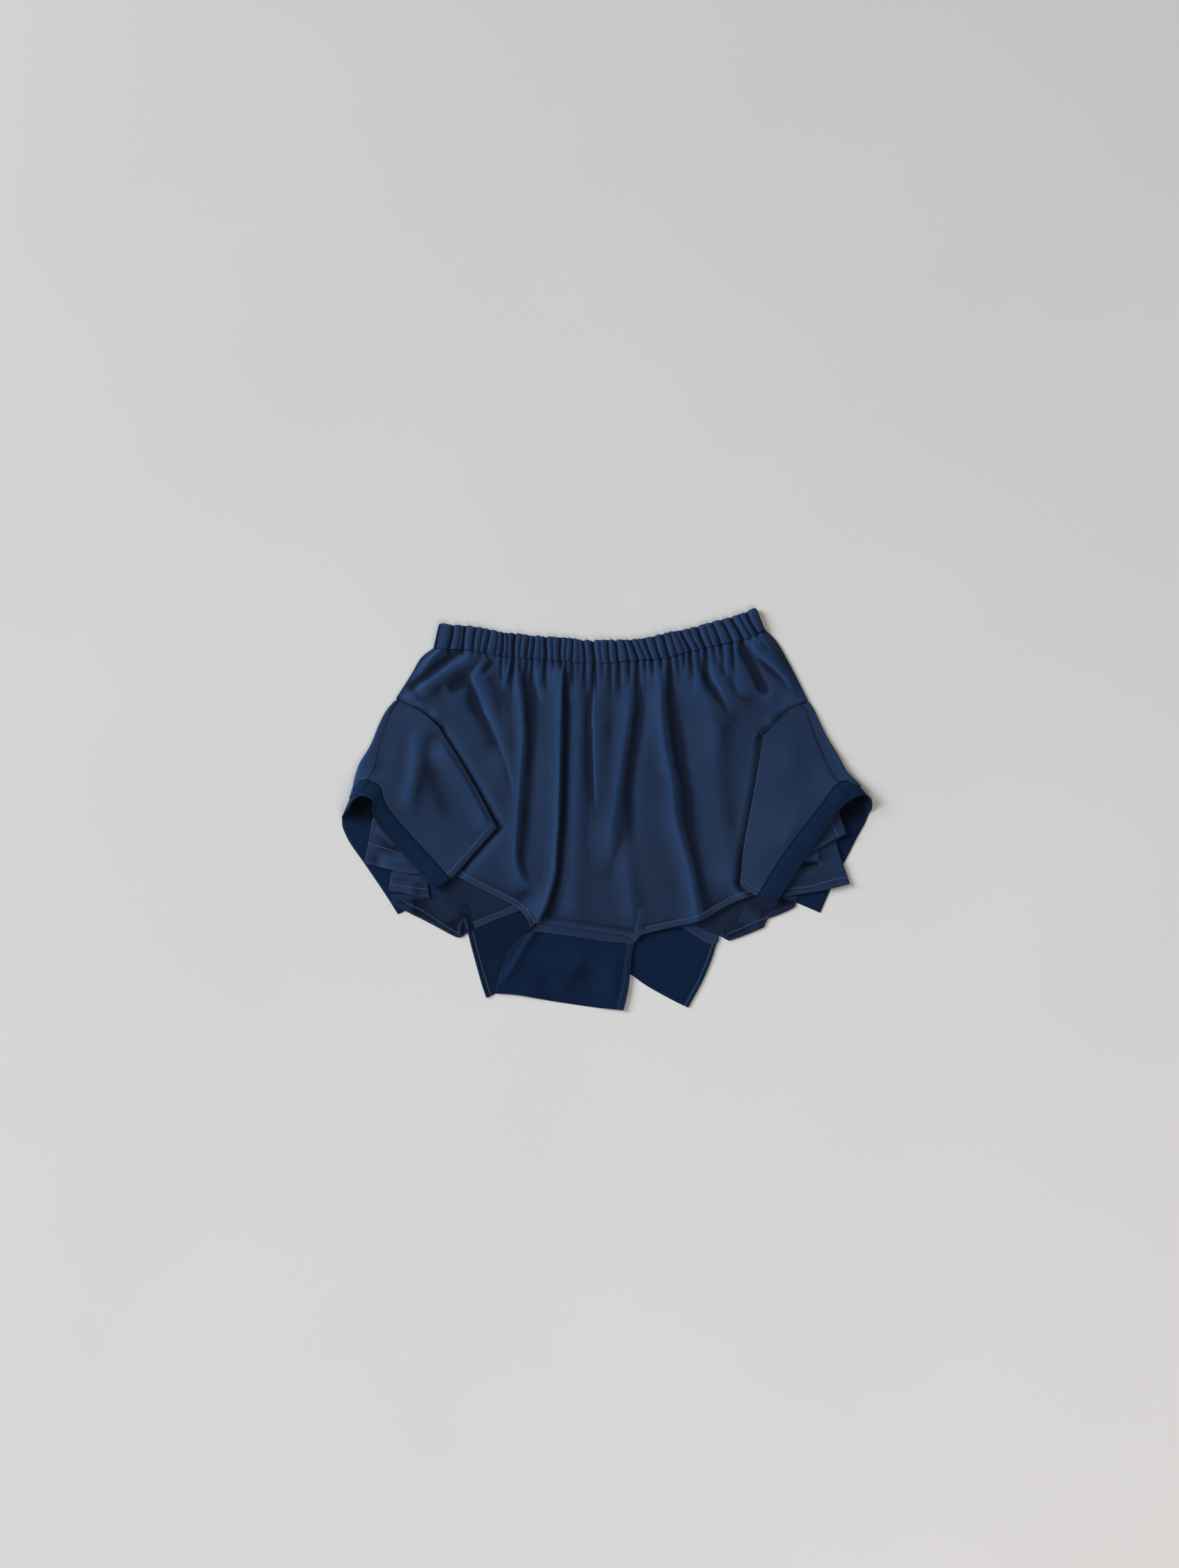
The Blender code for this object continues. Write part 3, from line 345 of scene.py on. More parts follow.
@dataclass
class ClothPiece:
    """One cloth piece: its grid, its finish and what it stands for.

    Attributes:
        name: Name of the shown piece.
        node: The solid that it stands for, or an empty string.
        slot: The record's material slot; not used.
        points: Grid of points on the outer face.
        finish: Its material.
        flat: Width and length that the cloth was cut to, in metres.
        held: How it lies; not used.
        rests_on: Solids that it lies on; not used.
        area: Flat area of the cut in square metres, where it is not a rectangle.
        hems: Edges that are worn lighter.
        seams: Lines where the cloth sinks into a seam's shadow.
        hollows: Places painted dark as shade below a height, as x, y, radius and height.
        shade: How far the whole piece lies in the shadow of what is on it.
        turned: Columns at the grid's end that are a turned edge, without a painted crest highlight
        or crease shade of their own.
        outward: Sign of the outer face's z at the reference cell.
        reference: Row and column of a cell whose side is known.
        wall: Thickness of the shown cloth.
        ring: Whether the last column is sewn to the first.
    """

    name: str
    node: str
    slot: str
    points: np.ndarray
    finish: bpy.types.Material
    flat: tuple[float, float]
    held: Held
    rests_on: list[str]
    area: float | None = None
    hems: list[np.ndarray] = field(default_factory=list)
    seams: list[np.ndarray] = field(default_factory=list)
    hollows: list[tuple[float, float, float, float]] = field(default_factory=list)
    shade: float = 0.0
    turned: int = 0
    outward: float = 1.0
    reference: tuple[int, int] | None = None
    wall: float = SHOWN_WALL
    ring: bool = False

    def build(self) -> bpy.types.Object:
        """Returns:
            The finished piece, with its place in its mesh.
        """
        points = self.points
        if self.ring:
            points = np.concatenate([points[:, -3:-1], points, points[:, 1:3]], axis=1)
        normals = face_normals(points)
        # Relief over several reaches; on the colour it sets a painted highlight on crests and painted
        # shade in creases.
        ridge = sum(relief(points, reach) * weight for reach, weight in RELIEF_SCALES)
        if self.ring:
            points, normals, ridge = points[:, 2:-2], normals[:, 2:-2], ridge[:, 2:-2]
        if self.turned:
            ridge[:, -self.turned:] = 0
        row, column = self.reference or (points.shape[0] // 2, points.shape[1] // 2)
        flip = bool(normals[row, column, 2] * self.outward < 0)
        if flip:
            normals, ridge = -normals, -ridge
        vertices, faces = self._shell(points, normals, flip)
        mesh = bpy.data.meshes.new(self.name)
        mesh.from_pydata([tuple(row) for row in (vertices - MIDDLE) * MM], [], faces)
        self._weld(mesh)
        self._mark(mesh, points, ridge)
        mesh.materials.append(self.finish)
        mesh.shade_smooth()
        piece = bpy.data.objects.new(self.name, mesh)
        bpy.context.scene.collection.objects.link(piece)
        if self.node:
            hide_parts(self.node)
        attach(piece, "root")
        LOG.info("%s: %d faces, %.4f m2 of cloth for a cut of %.4f m2", self.name, len(mesh.polygons),
                 sum(face.area for face in mesh.polygons) / 2, self.area or self.flat[0] * self.flat[1])
        return piece

    def declare(self, piece: bpy.types.Object, stitches: Sequence[bpy.types.Object] = ()) -> None:
        """Does nothing; the cut that the piece was made from is not stated."""

    def _shell(self, points: np.ndarray, normals: np.ndarray, flip: bool) -> tuple[np.ndarray, list]:
        """Outer face, inner face and a rounded rim.

        Args:
            points: Grid of the outer face.
            normals: Outward normals.
            flip: Whether the grid's own winding points inwards.

        Returns:
            Vertices in millimetres and faces.
        """
        rows, columns = points.shape[:2]
        inner = points - normals * self.wall
        cell = rows * columns
        vertices = [points.reshape(-1, 3), inner.reshape(-1, 3)]
        index = np.arange(cell).reshape(rows, columns)
        quads = np.stack([index[:-1, :-1], index[1:, :-1], index[1:, 1:], index[:-1, 1:]], axis=-1)
        quads = quads.reshape(-1, 4)
        front = quads[:, ::-1] if flip else quads
        faces = [front, front[:, ::-1] + cell]
        start = 2 * cell
        edges = [(index[0], index[1]), (index[-1], index[-2])]
        if not self.ring:
            edges += [(index[:, 0], index[:, 1]), (index[:, -1], index[:, -2])]
        for number, (edge, inside) in enumerate(edges):
            outer, under = vertices[0][edge], vertices[1][edge]
            away = outer - vertices[0][inside]
            away /= np.maximum(np.linalg.norm(away, axis=1, keepdims=True), 1e-9)
            vertices.append((outer + under) / 2 + away * self.wall * RIM_SHARE)
            middle = np.arange(start, start + len(edge))
            start += len(edge)
            for one, two in ((edge, middle), (middle, edge + cell)):
                strip = np.stack([one[:-1], one[1:], two[1:], two[:-1]], axis=-1)
                faces.append(strip if (number in (0, 3)) != flip else strip[:, ::-1])
        return np.concatenate(vertices), np.concatenate(faces).tolist()

    def _weld(self, mesh: bpy.types.Mesh) -> None:
        """Join the ring's ends and the rim's corners."""
        sewn = bmesh.new()
        sewn.from_mesh(mesh)
        layer = sewn.verts.layers.int.new("place")
        for number, vertex in enumerate(sewn.verts):
            vertex[layer] = number
        bmesh.ops.remove_doubles(sewn, verts=sewn.verts[:], dist=0.002 * MM)
        bmesh.ops.holes_fill(sewn, edges=[edge for edge in sewn.edges if edge.is_boundary], sides=12)
        sewn.to_mesh(mesh)
        sewn.free()

    def _mark(self, mesh: bpy.types.Mesh, points: np.ndarray, ridge: np.ndarray) -> None:
        """Write each vertex's crest height, painted shade and wear near a hem."""
        place = np.zeros(len(mesh.vertices), np.int32)
        mesh.attributes["place"].data.foreach_get("value", place)
        index = np.arange(ridge.size).reshape(ridge.shape)
        rims = [index[0], index[-1]] if self.ring else [index[0], index[-1], index[:, 0], index[:, -1]]
        spot = np.concatenate([index.ravel(), index.ravel(), *rims])[place]
        worn = self._nearness(points, self.hems, HEM_WEAR)
        # Painted shade: the piece's own shade, crease bottoms and seams, written as the valley attribute.
        dark = self.shade + np.clip(-1.25 * ridge, 0, 1)
        dark = dark + 0.65 * self._nearness(points, self.seams, SEAM_SHADOW)
        # Painted shade in hollows below a height, such as a sleeve's mouth.
        for x, y, radius, below in self.hollows:
            away = np.hypot(points[..., 0] - x, points[..., 1] - y) / radius
            dark += 1.6 * smooth(1.4 * (1 - away)) * smooth((below - points[..., 2]) / 2)
        for name, values in (("ridge", np.clip(ridge, 0, 1)), ("valley", dark), ("hem", worn)):
            layer = mesh.attributes.new(name, "FLOAT", "POINT")
            layer.data.foreach_set("value", values.ravel()[spot].astype(np.float32))
        mesh.attributes.remove(mesh.attributes["place"])

    @staticmethod
    def _nearness(points: np.ndarray, lines: Sequence[np.ndarray], width: float) -> np.ndarray:
        """1 on any of the lines, falling to 0 beside them."""
        near = np.full(points.shape[:-1], 40.0)
        for line in lines:
            near = np.minimum(near, np.abs(to_path(points, line)[0]))
        return np.exp(-(near / width) ** 2)


class Wire:
    """A shader value. Python's operators on it add Math nodes to its tree."""

    def __init__(self, tree: bpy.types.NodeTree, socket: bpy.types.NodeSocket) -> None:
        """Hold a socket and the tree that it is in."""
        self.tree = tree
        self.socket = socket

    def _maths(self, operation: str, first: Any, second: Any) -> Wire:
        """Add a Math node.

        Args:
            operation: The node's operation.
            first: Its first value, a Wire or a number.
            second: Its second value.

        Returns:
            The node's result.
        """
        node = self.tree.nodes.new("ShaderNodeMath")
        node.operation = operation
        for socket, value in zip(node.inputs, (first, second)):
            if isinstance(value, Wire):
                self.tree.links.new(value.socket, socket)
            else:
                socket.default_value = value
        return Wire(self.tree, node.outputs[0])

    def __add__(self, other: Any) -> Wire:
        """Sum."""
        return self._maths("ADD", self, other)

    def __radd__(self, other: Any) -> Wire:
        """Sum with a number on the left."""
        return self._maths("ADD", other, self)

    def __sub__(self, other: Any) -> Wire:
        """Difference."""
        return self._maths("SUBTRACT", self, other)

    def __rsub__(self, other: Any) -> Wire:
        """Difference from a number on the left."""
        return self._maths("SUBTRACT", other, self)

    def __mul__(self, other: Any) -> Wire:
        """Product."""
        return self._maths("MULTIPLY", self, other)

    def __rmul__(self, other: Any) -> Wire:
        """Product with a number on the left."""
        return self._maths("MULTIPLY", other, self)

    def modulo(self, other: float) -> Wire:
        """Remainder of a division."""
        return self._maths("MODULO", self, other)

    def sine(self) -> Wire:
        """Sine of the value in radians."""
        return self._maths("SINE", self, 0.0)

    def clamped(self) -> Wire:
        """The value held between 0 and 1."""
        return self._maths("MINIMUM", self._maths("MAXIMUM", self, 0.0), 1.0)


class NodeBench:
    """A node tree, with one way to add a node."""

    def __init__(self, tree: bpy.types.NodeTree) -> None:
        """Work on a tree."""
        self.tree = tree

    def add(self, kind: str, settings: dict[str, Any] | None = None, **sockets: Any) -> bpy.types.Node:
        """Add a node.

        Args:
            kind: The node's type.
            settings: Its own properties, set first.
            sockets: Values, Wires or sockets for its inputs, by name with underscores for spaces, or by
                number as _NUMBER.

        Returns:
            The node.
        """
        node = self.tree.nodes.new(kind)
        for name, value in (settings or {}).items():
            setattr(node, name, value)
        for name, value in sockets.items():
            socket = node.inputs[int(name[1:]) if name[0] == "_" else name.replace("_", " ")]
            if isinstance(value, Wire):
                value = value.socket
            if isinstance(value, bpy.types.NodeSocket):
                self.tree.links.new(value, socket)
            else:
                socket.default_value = value
        return node


class FinishTree(NodeBench):
    """A material's node tree around a Principled shader."""

    def __init__(self, name: str) -> None:
        """Make an empty material."""
        self.material = bpy.data.materials.new(name)
        self.material.use_nodes = True
        super().__init__(self.material.node_tree)
        self.shader = self.tree.nodes["Principled BSDF"]

    def wire(self, node: bpy.types.Node, output: str | int = 0) -> Wire:
        """An output of a node as a value for expressions."""
        return Wire(self.tree, node.outputs[output])

    def painted(self, name: str) -> Wire:
        """A value that the mesh carries."""
        return self.wire(self.add("ShaderNodeAttribute", {"attribute_name": name}), "Fac")

    def noise(self, place: Wire, scale: float, detail: float) -> Wire:
        """Soft noise from 0 to 1 over a place."""
        node = self.add("ShaderNodeTexNoise", None, Vector=place, Scale=scale, Detail=detail)
        return self.wire(node, "Fac")

    def mixed(self, share: Wire | float, first: Any, second: Any) -> Wire:
        """A blend of two colours."""
        node = self.add("ShaderNodeMix", {"data_type": "RGBA"}, _0=share, _6=first, _7=second)
        return self.wire(node, 2)

    def feed(self, socket: str, value: Wire | float) -> None:
        """Give one of the shader's inputs a value."""
        if isinstance(value, Wire):
            self.tree.links.new(value.socket, self.shader.inputs[socket])
        else:
            self.shader.inputs[socket].default_value = value


@dataclass(frozen=True)
class ClothFinish:
    """A washed navy knit.

    Attributes:
        name: The material's name.
        ground: Its colour.
        faded: The colour of worn hems and faded patches, mixed in a little on crests too as a
            painted highlight.
        lit: The painted highlight colour on a fold's crest.
        deep: The painted shade colour in fold bottoms, seams and hollows.
        pitch: Distance between two cells of the knit, in metres.
        slant: Share of the diagonal lattice, against straight ribs.
        grain: Depth of the knit's bump, in metres.
        roughness: Surface roughness.
        sheen: Strength of the soft fuzz.
    """

    name: str
    ground: tuple[float, float, float]
    faded: tuple[float, float, float]
    lit: tuple[float, float, float]
    deep: tuple[float, float, float]
    pitch: float
    slant: float
    grain: float
    roughness: float
    sheen: float = 0.12

    def material(self) -> bpy.types.Material:
        """Build the node tree.

        Returns:
            The material.
        """
        finish = FinishTree(self.name)
        place = finish.wire(finish.add("ShaderNodeTexCoord"), "Object")
        axes = finish.add("ShaderNodeSeparateXYZ", None, Vector=place)
        x, y = finish.wire(axes, 0), finish.wire(axes, 1)
        turn = 2 * math.pi / self.pitch
        lattice = ((x + y) * turn).sine() * ((x - y) * turn).sine()
        ribs = (x * turn).sine()
        weave = lattice * self.slant + ribs * (1 - self.slant)
        cloudy = finish.noise(place, 9.0, 4.0)
        lint = finish.noise(place, 900.0, 2.0)
        ridge, valley, hem = (finish.painted(name) for name in ("ridge", "valley", "hem"))
        # Fading from hem wear, washing blotches, lint and the knit, plus a little lightening on crests
        # that is a painted highlight.
        worn = ridge * 0.1 + hem * 0.32 + (cloudy - 0.5) * 0.9 + (lint - 0.5) * 0.35 + weave * 0.10
        colour = finish.mixed(worn.clamped(), (*self.ground, 1), (*self.faded, 1))
        # Painted highlight: crests are mixed towards the lit colour.
        colour = finish.mixed((ridge * 0.55).clamped(), colour, (*self.lit, 1))
        # Painted shade: creases, seams, hollows and shaded pieces are mixed towards the deep colour.
        colour = finish.mixed((valley * 0.85).clamped(), colour, (*self.deep, 1))
        height = weave * 0.5 + lint * 0.6
        bump = finish.add("ShaderNodeBump", None, Strength=0.55, Distance=self.grain, Height=height)
        finish.feed("Base Color", colour)
        finish.feed("Normal", finish.wire(bump, "Normal"))
        finish.feed("Roughness", (0.04 * lint + (self.roughness - 0.02)).clamped())
        finish.feed("Sheen Weight", self.sheen)
        finish.feed("Sheen Roughness", 0.45)
        finish.feed("Specular IOR Level", 0.12)
        return finish.material


@dataclass(frozen=True)
class ThreadFinish:
    """Sewing thread, a little lighter than the cloth."""

    name: str = "navy sewing thread"
    colour: tuple[float, float, float] = (0.030, 0.062, 0.140)

    def material(self) -> bpy.types.Material:
        """Build the thread's material."""
        finish = FinishTree(self.name)
        place = finish.wire(finish.add("ShaderNodeTexCoord"), "Object")
        fuzz = finish.noise(place, 2500.0, 2.0)
        colour = finish.mixed(fuzz, (*self.colour, 1), tuple(1.7 * part for part in self.colour) + (1,))
        finish.feed("Base Color", colour)
        finish.feed("Roughness", 0.6)
        return finish.material


@dataclass(frozen=True)
class Finishes:
    """Every material of the skirt."""

    panel: bpy.types.Material
    sleeve: bpy.types.Material
    rib: bpy.types.Material
    thread: bpy.types.Material


def band_curve(edge: Path) -> np.ndarray:
    """A long edge of the waistband as a fine smooth curve."""
    return rounded(edge, np.linspace(0, 1, FINE_SAMPLES))


def seam_y(x: np.ndarray) -> np.ndarray:
    """The waistband seam's y at an x."""
    curve = band_curve(BAND_SEAM)
    return np.interp(x, curve[:, 0], curve[:, 1])


def over_left_cuff(x: np.ndarray, y: np.ndarray) -> np.ndarray:
    """How far a layer is lifted where it lies on the left cuff's lower strand."""
    return (RIB_WALL + 2 * GAP) * smooth((-212 - x) / 10) * smooth((-76 - y) / 12)


@dataclass
class Waistband:
    """The gathered casing: a ring that lies flat.

    Attributes:
        finishes: The skirt's materials.
        height: Height of the flat ring over the floor.
        crown: How far the ribs between two gathers stand over it.
        belly: How much further they stand in the middle of the band's height.
        edge_roll: Share of the crown that is lost at the upper edge.
        valley: Depth of the deepest gather.
        valley_width: Half width of a gather of strength 1.
        scallop: How far a gather draws the upper edge down.
        lean: How far the gathers on the right lean over the band's height.
        columns: Grid points along the front layer.
        rows: Grid points over the band's height.
        gathers: Each gather's x at the upper edge and its strength.
    """

    finishes: Finishes
    height: float = CASING_HEIGHT
    crown: float = 1.3
    belly: float = 0.7
    edge_roll: float = 0.45
    valley: float = 3.5
    valley_width: float = 1.6
    scallop: float = 1.7
    lean: float = 5.0
    columns: int = 560
    rows: int = 22
    gathers: list[tuple[float, float]] = field(default_factory=lambda: [
        (-177, 1.0), (-167, 0.5), (-162, 1.0), (-150, 0.7), (-142, 0.5), (-135, 0.8), (-125, 0.5),
        (-118, 0.9), (-112, 0.6), (-104, 1.2), (-97, 0.5), (-89, 0.8), (-83, 0.8), (-75, 0.4), (-68, 1.1),
        (-60, 0.4), (-51, 0.8), (-45, 0.4), (-38, 0.7), (-31, 0.4), (-24, 0.8), (-13, 1.2), (-5, 0.4),
        (3, 0.7), (12, 0.9), (22, 0.7), (31, 1.0), (39, 0.5), (47, 0.8), (57, 0.8), (67, 1.0), (75, 0.5),
        (83, 0.5), (90, 1.0), (99, 0.5), (108, 1.1), (116, 0.5), (125, 0.8), (137, 0.9), (149, 1.1),
        (158, 0.5), (166, 0.9)])

    def sunk(self, x: np.ndarray, share: np.ndarray | float) -> np.ndarray:
        """How deep the gathers are at a place, 0 to about 1.

        Args:
            x: Place along the band.
            share: 0 at the seam, 1 at the upper edge.

        Returns:
            Depth as a share of the deepest valley.
        """
        total = np.zeros(np.broadcast(x, share).shape)
        for number, (place, strength) in enumerate(self.gathers):
            lean = self.lean * (1 - share) * smooth((place + 20) / 60)
            wander = 0.8 * np.sin(3.1 * share + number)
            off = x - place - lean - wander
            width = np.where(off < 0, 1.7, 0.6) * self.valley_width * (0.7 + 0.5 * strength)
            total = np.maximum(total, strength * np.exp(-(np.abs(off) / width) ** 1.5))
        return total

    def edge(self, path: Path, x: np.ndarray) -> np.ndarray:
        """Points of a band edge at places along it."""
        curve = band_curve(path)
        share = (x - BAND_SEAM[0][0]) / (BAND_SEAM[-1][0] - BAND_SEAM[0][0])
        at_x = path[0][0] + (path[-1][0] - path[0][0]) * share
        return np.stack([at_x, np.interp(at_x, curve[:, 0], curve[:, 1])], axis=1)

    def build(self) -> list[ClothPiece]:
        """Lay the ring out: front layer, side fold, back layer, side fold."""
        radius = self.height / 2
        x = np.linspace(BAND_SEAM[0][0], BAND_SEAM[-1][0], self.columns)
        low, high = self.edge(BAND_SEAM, x), self.edge(BAND_TOP, x)
        along = np.linspace(0, 1, self.columns)
        inside = smooth(along * 40) * smooth((1 - along) * 40)
        ragged = 0.35 * np.sin(x * 1.9) + 0.3 * np.sin(x * 0.83 + 1.0) * np.sin(x * 0.19)
        turn = np.linspace(0, math.pi, 14)[:, None]
        rows = []
        for share in np.linspace(0, 1, self.rows):
            wave = self.sunk(x, share)
            flat = low * (1 - share) + high * share
            roll = 1 - smooth((share - 0.9) / 0.1) * self.edge_roll
            rib = self.crown * roll - self.valley * wave + self.belly * math.sin(math.pi * share)
            y = flat[:, 1] - self.scallop * wave * share + share * ragged
            front = np.stack([flat[:, 0], y, self.height + inside * rib], axis=1)
            under = front[::-4]
            back = np.stack([under[:, 0], under[:, 1], np.full(len(under), 0.1)], axis=1)
            ends = []
            for edge, inner in ((front[-1], front[-2]), (front[0], front[1])):
                out = (edge - inner) * (1, 1, 0)
                out /= np.linalg.norm(out)
                ends.append(edge - out * radius * (1 - np.sin(turn)) + UP * radius * (np.cos(turn) - 1))
            rows.append(np.vstack([front[1:-1], ends[0], back[1:-1], ends[1][::-1], front[1:2]]))
        return [ClothPiece("waistband_cloth", "waistband", "waistband_pique", np.stack(rows),
                           self.finishes.panel, (0.9, 0.026), Held.GATHERED, ["front_panel", "back_panel"],
                           hems=[high], reference=(10, 200), ring=True)]


@dataclass
class FrontPanel:
    """The front panel: gathered under the waistband, in long folds, hemmed at the bottom.

    Attributes:
        finishes: The skirt's materials.
        band: The waistband, whose gathers run on into the panel.
        columns: Cells across the panel.
        rows: Cells down the panel.
        gather_depth: Depth of the gathers' valleys.
        seam_knots: Where the side seams' ends stand up under the armholes.
        hem: Stretches of the lower edge, which meet at sharp corners.
        creases: Ridges and valleys, from the left to the right.
    """

    finishes: Finishes
    band: Waistband
    columns: int = 330
    rows: int = 138
    gather_depth: float = 3.2
    seam_knots: tuple[tuple[float, float], ...] = ((-196.0, 106.0), (184.0, 97.0))
    hem: list[Path] = field(default_factory=lambda: [
        [(-184, -66), (-170, -74), (-145.3, -87.3), (-126.7, -96.7), (-113.3, -103.3), (-102.7, -109.3),
         (-94.7, -116), (-88.6, -126), (-85, -134.5)],
        [(-85, -134.5), (-79.5, -128.6)],
        [(-79.5, -128.6), (-49.6, -131.9), (-24, -135.6), (0, -139.6), (24, -142.8)],
        [(24, -142.8), (33.5, -149.5)],
        [(33.5, -149.5), (35.6, -145), (38.7, -142), (46.7, -139.3), (60, -136), (86.7, -130),
         (100, -127.3), (110.7, -123.3), (120, -118), (133.3, -110), (146.7, -103.3), (162.7, -98),
         (173, -96)]])
    creases: list[Crease] = field(default_factory=lambda: [
        Crease([(-50, 166), (-50.5, 130), (-51, 100), (-52, 60), (-53, 20), (-54, -10), (-56, -40),
                (-58, -70), (-63, -92), (-70, -112), (-80, -130)], 6.6, 2.4, 20, 0.06, 0.6),
        Crease([(-44, 160), (-45, 120), (-46, 60), (-47, 0), (-48, -70)], -1.6, 6, 5, 0.35),
        Crease([(-84, 160), (-84, 130), (-85, 90), (-85, 40), (-88, -10), (-89, -75)], -1.6, 9, 7, 0.3),
        Crease([(-104, 165), (-99, 140), (-95, 110), (-94, 80), (-97, 40), (-100, 0), (-103, -50),
                (-100, -68), (-96, -78), (-85, -90), (-78, -98)], 4.4, 5, 16, 0.12, 0.35),
        Crease([(-112, 155), (-114, 115), (-110, 70), (-104, 20), (-104, -20)], 2.0, 14, 24, 0.4),
        Crease([(-158, 146), (-150, 128), (-141, 106), (-131, 80), (-120, 52)], -2.2, 7, 12, 0.3),
        Crease([(-183, 184), (-197, 171.5), (-210, 160), (-226, 148)], 4.4, 5, 6, 0.1, 0.3),
        Crease([(-190, 183), (-204, 168), (-216, 156)], -1.4, 2.4, 2.4, 0.3),
        Crease([(-163, 184), (-178, 168), (-190, 158), (-208, 146), (-228, 134)], -2.6, 6, 6, 0.12),
        Crease([(-145, 178), (-161, 167.5), (-176, 160), (-192, 149), (-216, 130)], 4.4, 8, 6, 0.16, 0.25),
        Crease([(-152, 152), (-164, 143), (-182, 133)], -3.0, 7, 6, 0.4),
        Crease([(-132, 175), (-139, 166), (-146, 154), (-148, 146), (-143, 133), (-136, 116), (-128, 96),
                (-120, 76), (-112, 54), (-105, 28), (-101, 0)], 3.2, 12, 4.5, 0.16, 0.25),
        Crease([(-126, 171), (-134, 160), (-142, 150)], -1.6, 4, 4, 0.35),
        Crease([(-108, 172), (-112, 150), (-115, 125)], 2.4, 3, 8, 0.4, 0.3),
        Crease([(-73, 168), (-77, 150), (-75, 132), (-72, 110)], 2.6, 11, 4, 0.4, 0.3),
        Crease([(-33, 166), (-31, 120), (-33, 60), (-35, 0), (-38, -60), (-42, -140)], 2.2, 12, 14, 0.12),
        Crease([(-13, 164), (-14, 130), (-14.5, 90), (-13, 40), (-11, -30)], 4.2, 18, 2.0, 0.35, 0.6),
        Crease([(-20, 164), (-21, 120), (-21, 60), (-18, -10)], -1.4, 3, 7, 0.35),
        Crease([(27, 166), (27, 145), (26, 120), (22, 90), (17, 60), (11, 20), (5, -20), (0, -80)],
               4.2, 9, 20, 0.25, 0.25),
        Crease([(37, 168), (37, 140), (36, 110), (32, 80), (28, 50), (26, 10), (30, -60)],
               -2.4, 8, 8, 0.3),
        Crease([(60, 172), (61, 140), (61, 114), (65, 74), (73, 33), (77, -7), (83, -32), (95, -78),
                (106, -140)], 6.0, 8, 19, 0.08, 0.3),
        Crease([(74, 165), (74, 120), (79, 80), (88, 40), (95, 0), (104, -60)], -1.6, 10, 6, 0.35),
        Crease([(96, 178), (102, 150), (112, 118), (118, 80), (121, 30), (126, -10), (132, -45),
                (138, -110)], 3.4, 13, 22, 0.15),
        Crease([(105, 184), (107, 168), (112, 152), (118, 138), (124, 126), (131, 111)],
               -3.4, 3.6, 6.5, 0.5, 0.05),
        Crease([(113, 182), (118, 158), (128, 138), (137, 118), (141, 98)], 3.6, 12, 4.6, 0.5, 0.08),
        Crease([(128, 186), (134, 166), (146, 146), (162, 122)], 2.4, 12, 8, 0.3),
        Crease([(149, 192), (156, 176), (166, 158), (174, 142), (183, 126)], -4.4, 5, 6, 0.22, 0.1),
        Crease([(160, 196), (170, 178), (186, 164), (202, 150), (215, 130)], 4.4, 8, 4, 0.2, 0.2),
        Crease([(172, 198), (190, 173), (200, 162), (214, 136)], 1.8, 3.0, 2.0, 0.2, 0.6),
        Crease([(18, -20), (21, -60), (25, -100), (30, -150)], 2.2, 8, 14, 0.35),
        Crease([(31, -150), (34, -130), (41, -104)], 1.4, 3, 6, 0.4, 0.3)])

    def hem_line(self) -> np.ndarray:
        """The finished lower edge, from left to right."""
        return chain(self.hem, HEM_STEPS)

    def gather_runs(self, x: np.ndarray, y: np.ndarray) -> np.ndarray:
        """Depth of the gathers' valleys where they run out into the panel."""
        below = np.maximum(seam_y(x) - y, 0)
        total = np.zeros(x.shape)
        for number, (place, strength) in enumerate(self.band.gathers):
            lean = self.band.lean * smooth((place + 20) / 60)
            drift = (0.10 + 0.08 * math.sin(number * 2.3)) * below * (place / 190)
            reach = 26 + 42 * strength * (0.75 + 0.25 * math.sin(number * 1.7))
            width = 2.2 + 0.085 * below
            off = x - place - lean - drift
            gap = np.abs(off) / (width * np.where(off < 0, 1.3, 0.7))
            total = np.maximum(total, strength * np.exp(-gap ** 1.6) * smooth(1 - below / reach))
        inner = np.minimum(smooth((x + 130) / 16), smooth((156 - x) / 16))
        return total * np.maximum(inner, smooth((9 - below) / 9))

    def build(self) -> list[ClothPiece]:
        """Lay the panel out."""
        along_seam = np.linspace(BAND_SEAM[0][0], BAND_SEAM[-1][0], self.columns + 1)
        seam = self.band.edge(BAND_SEAM, along_seam) - (0, GAP)
        left = chain([LEFT_SIDE, LEFT_ARMHOLE, LEFT_HIDDEN], self.rows)
        right = chain([RIGHT_SIDE, RIGHT_ARMHOLE, RIGHT_HIDDEN], self.rows)
        hem = self.hem_line()
        flat = patch(seam, even(hem, self.columns), left, right)
        x, y = flat[..., 0], flat[..., 1]
        u = np.linspace(0, 1, self.columns + 1)[None, :]
        edge = smooth(np.minimum(u, 1 - u) * 30) * np.ones_like(x)
        calm = np.ones_like(x)
        for side, edges in ((Side.LEFT, (LEFT_ARMHOLE, LEFT_FOLD, LEFT_SLIT)),
                            (Side.RIGHT, (RIGHT_ARMHOLE, RIGHT_FOLD, RIGHT_SLIT))):
            gap, _ = to_path(flat, chain(edges, 90))
            calm = np.minimum(calm, smooth((side.sign * gap + 1) / 11))
        crests = [crease.height(flat) for crease in self.creases if crease.rise > 0]
        folds = sum(np.maximum(crest, 0) ** 3 for crest in crests) ** (1 / 3)
        folds = folds + sum(crease.height(flat) for crease in self.creases if crease.rise < 0)
        slack = 0.5 * np.sin(x / 23 + 0.6 * np.sin(y / 31)) * np.sin(y / 41 + x / 77)
        near_band = smooth((y - seam_y(x) + 16) / 16)
        gathers = self.gather_depth * self.gather_runs(x, y) * edge
        height = PANEL_TOP + np.maximum(0, edge * calm * (RELIEF + folds + slack) - gathers)
        height = height + (CASING_HEIGHT - PANEL_TOP - RELIEF) * edge * near_band
